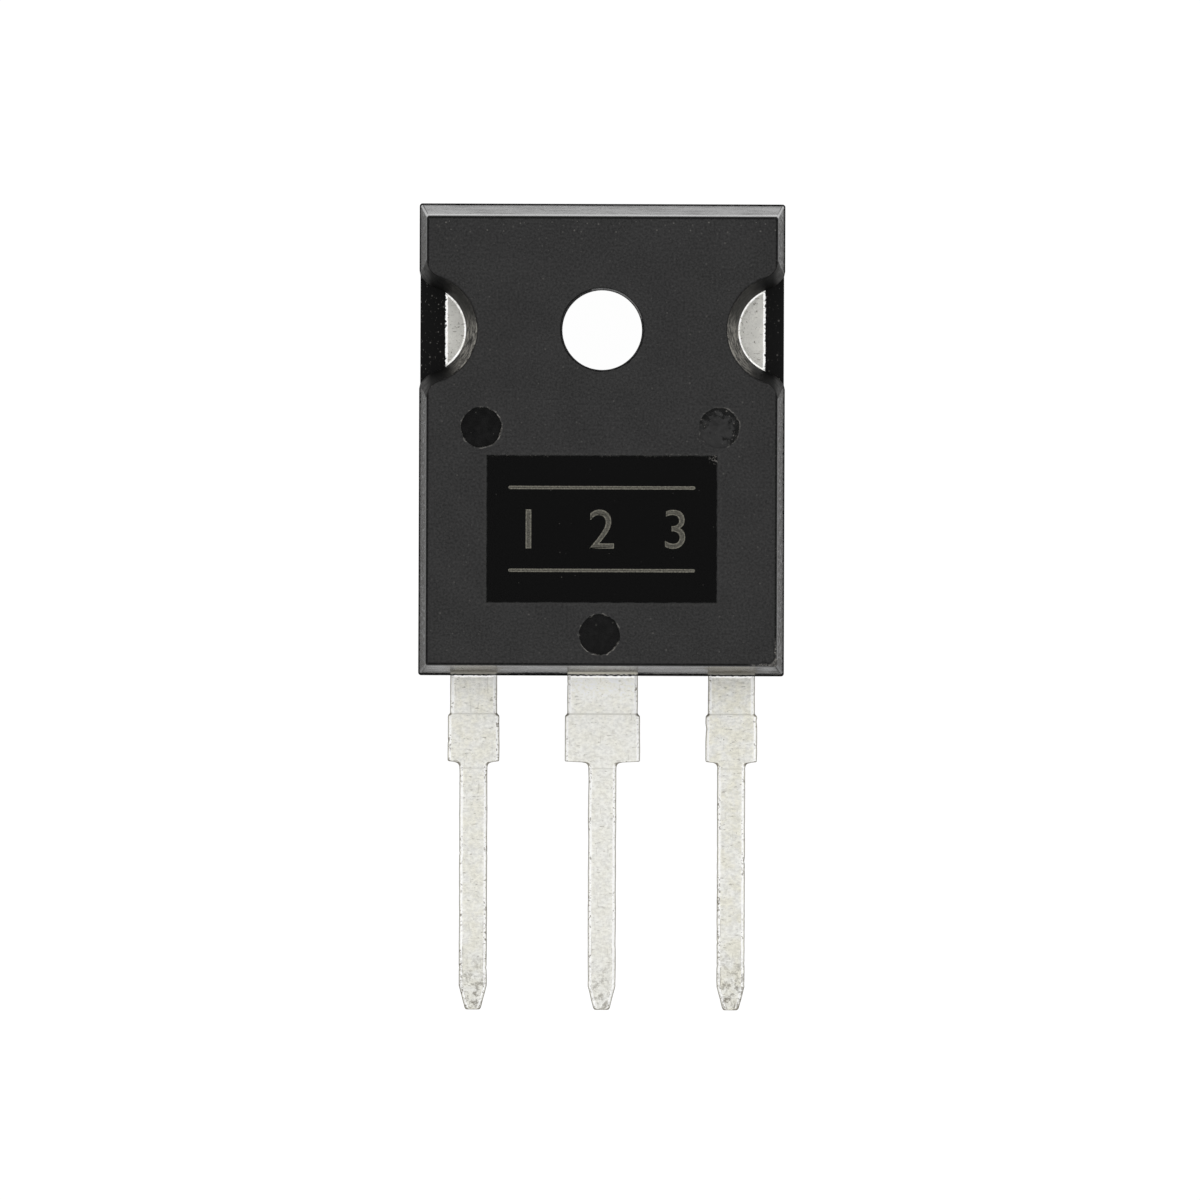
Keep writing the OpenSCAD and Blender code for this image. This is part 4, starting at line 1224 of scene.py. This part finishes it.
class TRANSISTOR_OT_stage(bpy.types.Operator):
    """Sets up the camera, the floor and the light."""

    bl_idname = "transistor.stage"
    bl_label = "Stage"

    def execute(self, context):
        settings = context.scene.transistor_stage
        deselect_everything()
        place = (settings.view_x, settings.view_y, settings.camera_height)
        bpy.ops.object.camera_add(location=place, rotation=(0, 0, settings.roll))
        camera = context.object
        camera.name = "front_camera"
        sensor, distance = 36, settings.camera_height - body_high.z
        camera.data.sensor_width = sensor
        camera.data.lens = sensor * distance / settings.view_width
        camera.data.clip_start = 0.01
        context.scene.camera = camera
        self.add_floor(settings)
        self.add_world(context.scene, settings)
        context.scene.view_settings.view_transform = "Standard"
        return {"FINISHED"}

    def add_floor(self, settings):
        """A plain pale floor that looks white and keeps a faint shadow; in reflections its glow holds painted
        shade beside the body's sides and painted light past the hole end.
        """
        bpy.ops.mesh.primitive_plane_add(size=settings.floor_size, location=(0, 0, -0.02 * MM))
        floor = settle(bpy.context.object, "floor")
        made, tree, shader = new_finish("pale_floor")
        shader.inputs["Base Color"].default_value = (0.82, 0.82, 0.82, 1)
        shader.inputs["Roughness"].default_value = 0.9
        shader.inputs["Specular IOR Level"].default_value = 0.1
        paths = add_node(tree, "LightPath").outputs
        plain = add_node(tree, "BsdfDiffuse", {"Color": (0.06, 0.06, 0.06, 1)})
        glow = add_node(tree, "Emission", {"Color": (0.984, 0.984, 0.984, 1), "Strength": 1.0})
        seen = add_node(tree, "AddShader", {0: plain.outputs[0], 1: glow.outputs[0]})
        _, x, y, _ = place_in(tree)
        # Painted shade and light, seen only in reflections: the glow is dimmer beside the body's sides and
        # brighter past the hole end.
        side_gap = minus(tree, unsigned(tree, x), body_high.x)
        beside = product(
            tree,
            ramp(tree, side_gap, -1.0 * MM, 0.2 * MM),
            ramp(tree, side_gap, 9 * MM, 2 * MM),
            ramp(tree, y, body_high.y + 1 * MM, body_high.y - 1 * MM),
        )
        holewards = ramp(tree, y, body_high.y - 0.6 * MM, body_high.y + 0.4 * MM)
        level = plus(tree, 0.5, product(tree, holewards, 0.3))
        level = minus(tree, level, product(tree, beside, 0.3))
        mirrored_plain = add_node(tree, "BsdfDiffuse", {"Color": (0.3, 0.3, 0.3, 1)})
        mirrored_glow = add_node(tree, "Emission", {"Color": (1, 1, 1, 1), "Strength": level})
        mirrored = add_node(tree, "AddShader", {0: mirrored_plain.outputs[0], 1: mirrored_glow.outputs[0]})
        reflected = highest(tree, paths["Is Glossy Ray"], paths["Is Transmission Ray"])
        in_camera = paths["Is Camera Ray"]
        first = add_node(tree, "MixShader", {0: reflected, 1: shader.outputs[0], 2: mirrored.outputs[0]})
        last = add_node(tree, "MixShader", {0: in_camera, 1: first.outputs[0], 2: seen.outputs[0]})
        output = next(n for n in tree.nodes if n.type == "OUTPUT_MATERIAL")
        tree.links.new(last.outputs[0], output.inputs[0])
        give(floor, made)

    def add_world(self, scene, settings):
        """Plain light from all round, darker straight overhead where the camera stands."""
        scene.world = bpy.data.worlds.new("studio")
        scene.world.use_nodes = True
        tree = scene.world.node_tree
        tree.nodes.clear()
        way = add_node(tree, "SeparateXYZ", {0: add_node(tree, "TexCoord").outputs["Generated"]}).outputs
        overhead = ramp(tree, way[2], 0.975, 0.994)
        low = ramp(tree, way[2], 0.75, 0.2)
        sideways = ramp(tree, unsigned(tree, way[0]), 0.5, 0.95)
        holewards = ramp(tree, way[1], 0.2, 0.9)
        level = plus(tree, 0.96, product(tree, low, 0.25))
        level = plus(tree, level, product(tree, holewards, 0.25))
        level = minus(tree, level, product(tree, sideways, 0.05))
        level = product(tree, level, ramp(tree, overhead, 0.0, 1.0, 1.0, settings.dark_spot), settings.light)
        seen = add_node(tree, "LightPath").outputs["Is Camera Ray"]
        strength = reckon(tree, "MAXIMUM", level, seen)
        around = add_node(tree, "Background", {"Color": (1, 1, 1, 1), "Strength": strength})
        output = add_node(tree, "OutputWorld")
        tree.links.new(around.outputs[0], output.inputs[0])


class TRANSISTOR_OT_moulded_body(bpy.types.Operator):
    """Models the moulded body with its hole, notches, marks and inner spaces."""

    bl_idname = "transistor.moulded_body"
    bl_label = "Moulded body"

    def execute(self, context):
        scene = context.scene
        sizes, marks, colours = scene.transistor_body, scene.transistor_marks, scene.transistor_colours
        face, walls = face_finish(colours, marks, sizes), wall_finish(colours, sizes, scene.transistor_leads)
        polished, mark = polished_finish(colours, marks), mark_finish(colours, marks)
        notch, scuff = notch_finish(), scuff_finish(colours, marks, sizes)
        bore = bore_finish("bore_epoxy", colours, 0.6, 0.02)
        glossy = bore_finish("glossy_bore", colours, 0.4, 0.4)
        body = give(body_block(sizes), face, walls, seam_finish(colours))
        for f in body.data.polygons:
            at_seam = abs(f.center.z - sizes.parting - 0.5 * sizes.seam_height) < 0.4 * sizes.seam_height
            f.material_index = 2 if at_seam else 0 if abs(f.normal.z) > 0.8 else 1
        hole = give(bore_cutter(sizes), bore, glossy)
        for f in hole.data.polygons:
            turn = math.degrees(math.atan2(f.center.y, f.center.x))
            at_upper_right = 15 < turn < 105
            f.material_index = 1 if at_upper_right and f.center.z > sizes.gloss_start else 0
        cutters = [hole]
        cutters += [give(notch_cutter(sizes, side), notch) for side in (1, -1)]
        cutters.append(give(field_cutter(marks), polished))
        depths = (marks.mark_depth, marks.faint_depth, marks.mark_depth)
        for number, (place, depth) in enumerate(zip(mark_places(marks), depths)):
            cutters.append(give(mark_cutter(marks, place, depth, 3.7 * number), mark))
        cutters.append(give(chip_cutter(marks), scuff))
        cutters += list(inner_cutters(bore))
        for cutter in cutters:
            cut(body, cutter)
        smooth(body)
        finish_piece(body, "epoxy", "mold_body")
        return {"FINISHED"}


class TRANSISTOR_OT_leads(bpy.types.Operator):
    """Models the heat-sink plate with its centre lead, and the two outer leads."""

    bl_idname = "transistor.leads"
    bl_label = "Leads and heat-sink plate"

    def execute(self, context):
        scene = context.scene
        sizes, body, colours = scene.transistor_leads, scene.transistor_body, scene.transistor_colours
        plate_tin = plate_finish(colours, body)
        for node, name, place, width, seed, nicked, warm in (
            ("gate_lead", "left_lead", -sizes.pitch, sizes.outer_root, 1.7, 0.9, 0.6),
            ("source_lead", "right_lead", sizes.pitch, sizes.outer_root, 8.1, 1.0, 0.9),
            ("drain_frame", "heat_sink_and_centre_lead", 0.0, sizes.centre_root, 4.4, 0.45, 0.2),
        ):
            piece = packed_copy(node, name)
            draw_lead(piece, sizes, sizes.shift + place, width, seed, nicked)
            tin = tin_finish(name + "_tin", colours, sizes, sizes.shift + place, width, seed, nicked, warm)
            give(piece, tin, plate_tin)
            for f in piece.data.polygons:
                f.material_index = 1 if node == "drain_frame" and f.center.y > body_low.y + 1.2 * MM else 0
            smooth(piece, 30)
            finish_piece(piece, "tinned_copper", node)
        return {"FINISHED"}


class TRANSISTOR_OT_pin_numbers(bpy.types.Operator):
    """Etches plain pin numbers between two lines on the marking field."""

    bl_idname = "transistor.pin_numbers"
    bl_label = "Pin numbers"

    def execute(self, context):
        scene = context.scene
        marks, colours = scene.transistor_marks, scene.transistor_colours
        middle, _ = field_place(marks)
        floor_z = body_high.z - marks.field_depth
        parts = [
            self.numeral(marks, str(i + 2), (middle[0] + i * marks.numeral_pitch, middle[1]), floor_z)
            for i in (-1, 0, 1)
        ]
        parts += [self.rule(marks, (middle[0], middle[1] + way * marks.rule_gap), floor_z) for way in (-1, 1)]
        deselect_everything()
        for part in parts:
            part.select_set(True)
        context.view_layer.objects.active = parts[0]
        bpy.ops.object.join()
        rims = etched_finish("etched_rims", colours, 1.5)
        cores = etched_finish("etched_cores", colours, 0.8)
        numbers = give(settle(context.object, "pin_numbers"), rims, cores)
        edit(numbers)
        pick(numbers, "faces", lambda f: f.normal.z > 0.9)
        bpy.ops.mesh.inset(thickness=marks.etch_rim)
        numbers.active_material_index = 1
        bpy.ops.object.material_slot_assign()
        leave(numbers)
        finish_piece(numbers, "epoxy")
        return {"FINISHED"}

    def numeral(self, marks, words, place, floor_z):
        """One numeral, centred on its place and sunk a little into the field."""
        deselect_everything()
        bpy.ops.object.text_add(location=(0, 0, 0))
        text = bpy.context.object
        text.data.body = words
        text.data.size = marks.numeral
        text.data.extrude = marks.etch_height
        text.data.resolution_u = 8
        bpy.ops.object.convert(target="MESH")
        numeral = bpy.context.object
        co = [v.co for v in numeral.data.vertices]
        low = Vector(min(c[i] for c in co) for i in range(3))
        high = Vector(max(c[i] for c in co) for i in range(3))
        factor = marks.numeral / (high.y - low.y)
        flatter = 2 * marks.etch_height / (high.z - low.z)
        edit(numeral)
        bpy.ops.mesh.select_all(action="SELECT")
        bpy.ops.mesh.remove_doubles(threshold=1e-8)
        move_by((place[0] - (low.x + high.x) / 2, place[1] - (low.y + high.y) / 2, floor_z))
        resize_by((factor, factor, flatter), (*place, floor_z))
        return settle(leave(numeral), "numeral")

    def rule(self, marks, place, floor_z):
        """One etched line with round ends."""
        deselect_everything()
        bpy.ops.mesh.primitive_cube_add(
            size=1,
            location=(*place, floor_z),
            scale=(marks.rule_length, marks.rule_width, 2 * marks.etch_height),
        )
        rule = settle(bpy.context.object, "rule")
        edit(rule)
        pick(rule, "edges", lambda e: abs(e.verts[0].co.z - e.verts[1].co.z) > 0.5 * marks.etch_height)
        bpy.ops.mesh.bevel(offset=0.49 * marks.rule_width, segments=4, affect="EDGES")
        return leave(rule)


class TRANSISTOR_OT_inner_parts(bpy.types.Operator):
    """Finishes the chip, its solder and the bond wires, which keep their packed shapes."""

    bl_idname = "transistor.inner_parts"
    bl_label = "Inner parts"

    def execute(self, context):
        colours = context.scene.transistor_colours
        silicon = inner_finish("polished_silicon", colours.silicon, 0.2, 0.6, 0.4 * MM)
        solder = inner_finish("dull_solder", colours.solder, 0.5, 1.0, 0.15 * MM)
        wire = inner_finish("drawn_aluminium", colours.aluminium, 0.32, 1.0, 0.05 * MM)
        for name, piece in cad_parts.items():
            if name == "silicon_die":
                give(piece, silicon)
            elif name == "die_solder":
                give(piece, solder)
            elif "wire" in name:
                give(piece, wire)
        return {"FINISHED"}


class TRANSISTOR_PT_panel(bpy.types.Panel):
    """Lists the steps that build the transistor, and its sizes and colours."""

    bl_idname = "TRANSISTOR_PT_panel"
    bl_label = "Power transistor"
    bl_space_type = "VIEW_3D"
    bl_region_type = "UI"
    bl_category = "Transistor"

    def draw(self, context):
        layout = self.layout
        for operator in OPERATORS:
            layout.operator(operator.bl_idname)
        for name, kind in SETTINGS.items():
            group = getattr(context.scene, name)
            box = layout.box()
            box.label(text=kind.__doc__)
            for setting in kind.__annotations__:
                box.prop(group, setting)


SETTINGS = {
    "transistor_body": BodySizes,
    "transistor_marks": MarkSizes,
    "transistor_leads": LeadSizes,
    "transistor_colours": FinishColours,
    "transistor_stage": StageSettings,
}

OPERATORS = (
    TRANSISTOR_OT_stage,
    TRANSISTOR_OT_moulded_body,
    TRANSISTOR_OT_leads,
    TRANSISTOR_OT_pin_numbers,
    TRANSISTOR_OT_inner_parts,
)


def register():
    """Registers the settings, the operators and the panel."""
    for name, kind in SETTINGS.items():
        bpy.utils.register_class(kind)
        setattr(bpy.types.Scene, name, PointerProperty(type=kind))
    for kind in (*OPERATORS, TRANSISTOR_PT_panel):
        bpy.utils.register_class(kind)


def unregister():
    """Takes the settings, the operators and the panel away again."""
    for kind in reversed((*OPERATORS, TRANSISTOR_PT_panel)):
        bpy.utils.unregister_class(kind)
    for name, kind in reversed(SETTINGS.items()):
        delattr(bpy.types.Scene, name)
        bpy.utils.unregister_class(kind)


def main():
    """Builds the whole transistor."""
    register()
    bpy.ops.transistor.stage()
    bpy.ops.transistor.moulded_body()
    bpy.ops.transistor.leads()
    bpy.ops.transistor.pin_numbers()
    bpy.ops.transistor.inner_parts()
    deselect_everything()


if __name__ == "__main__":
    main()
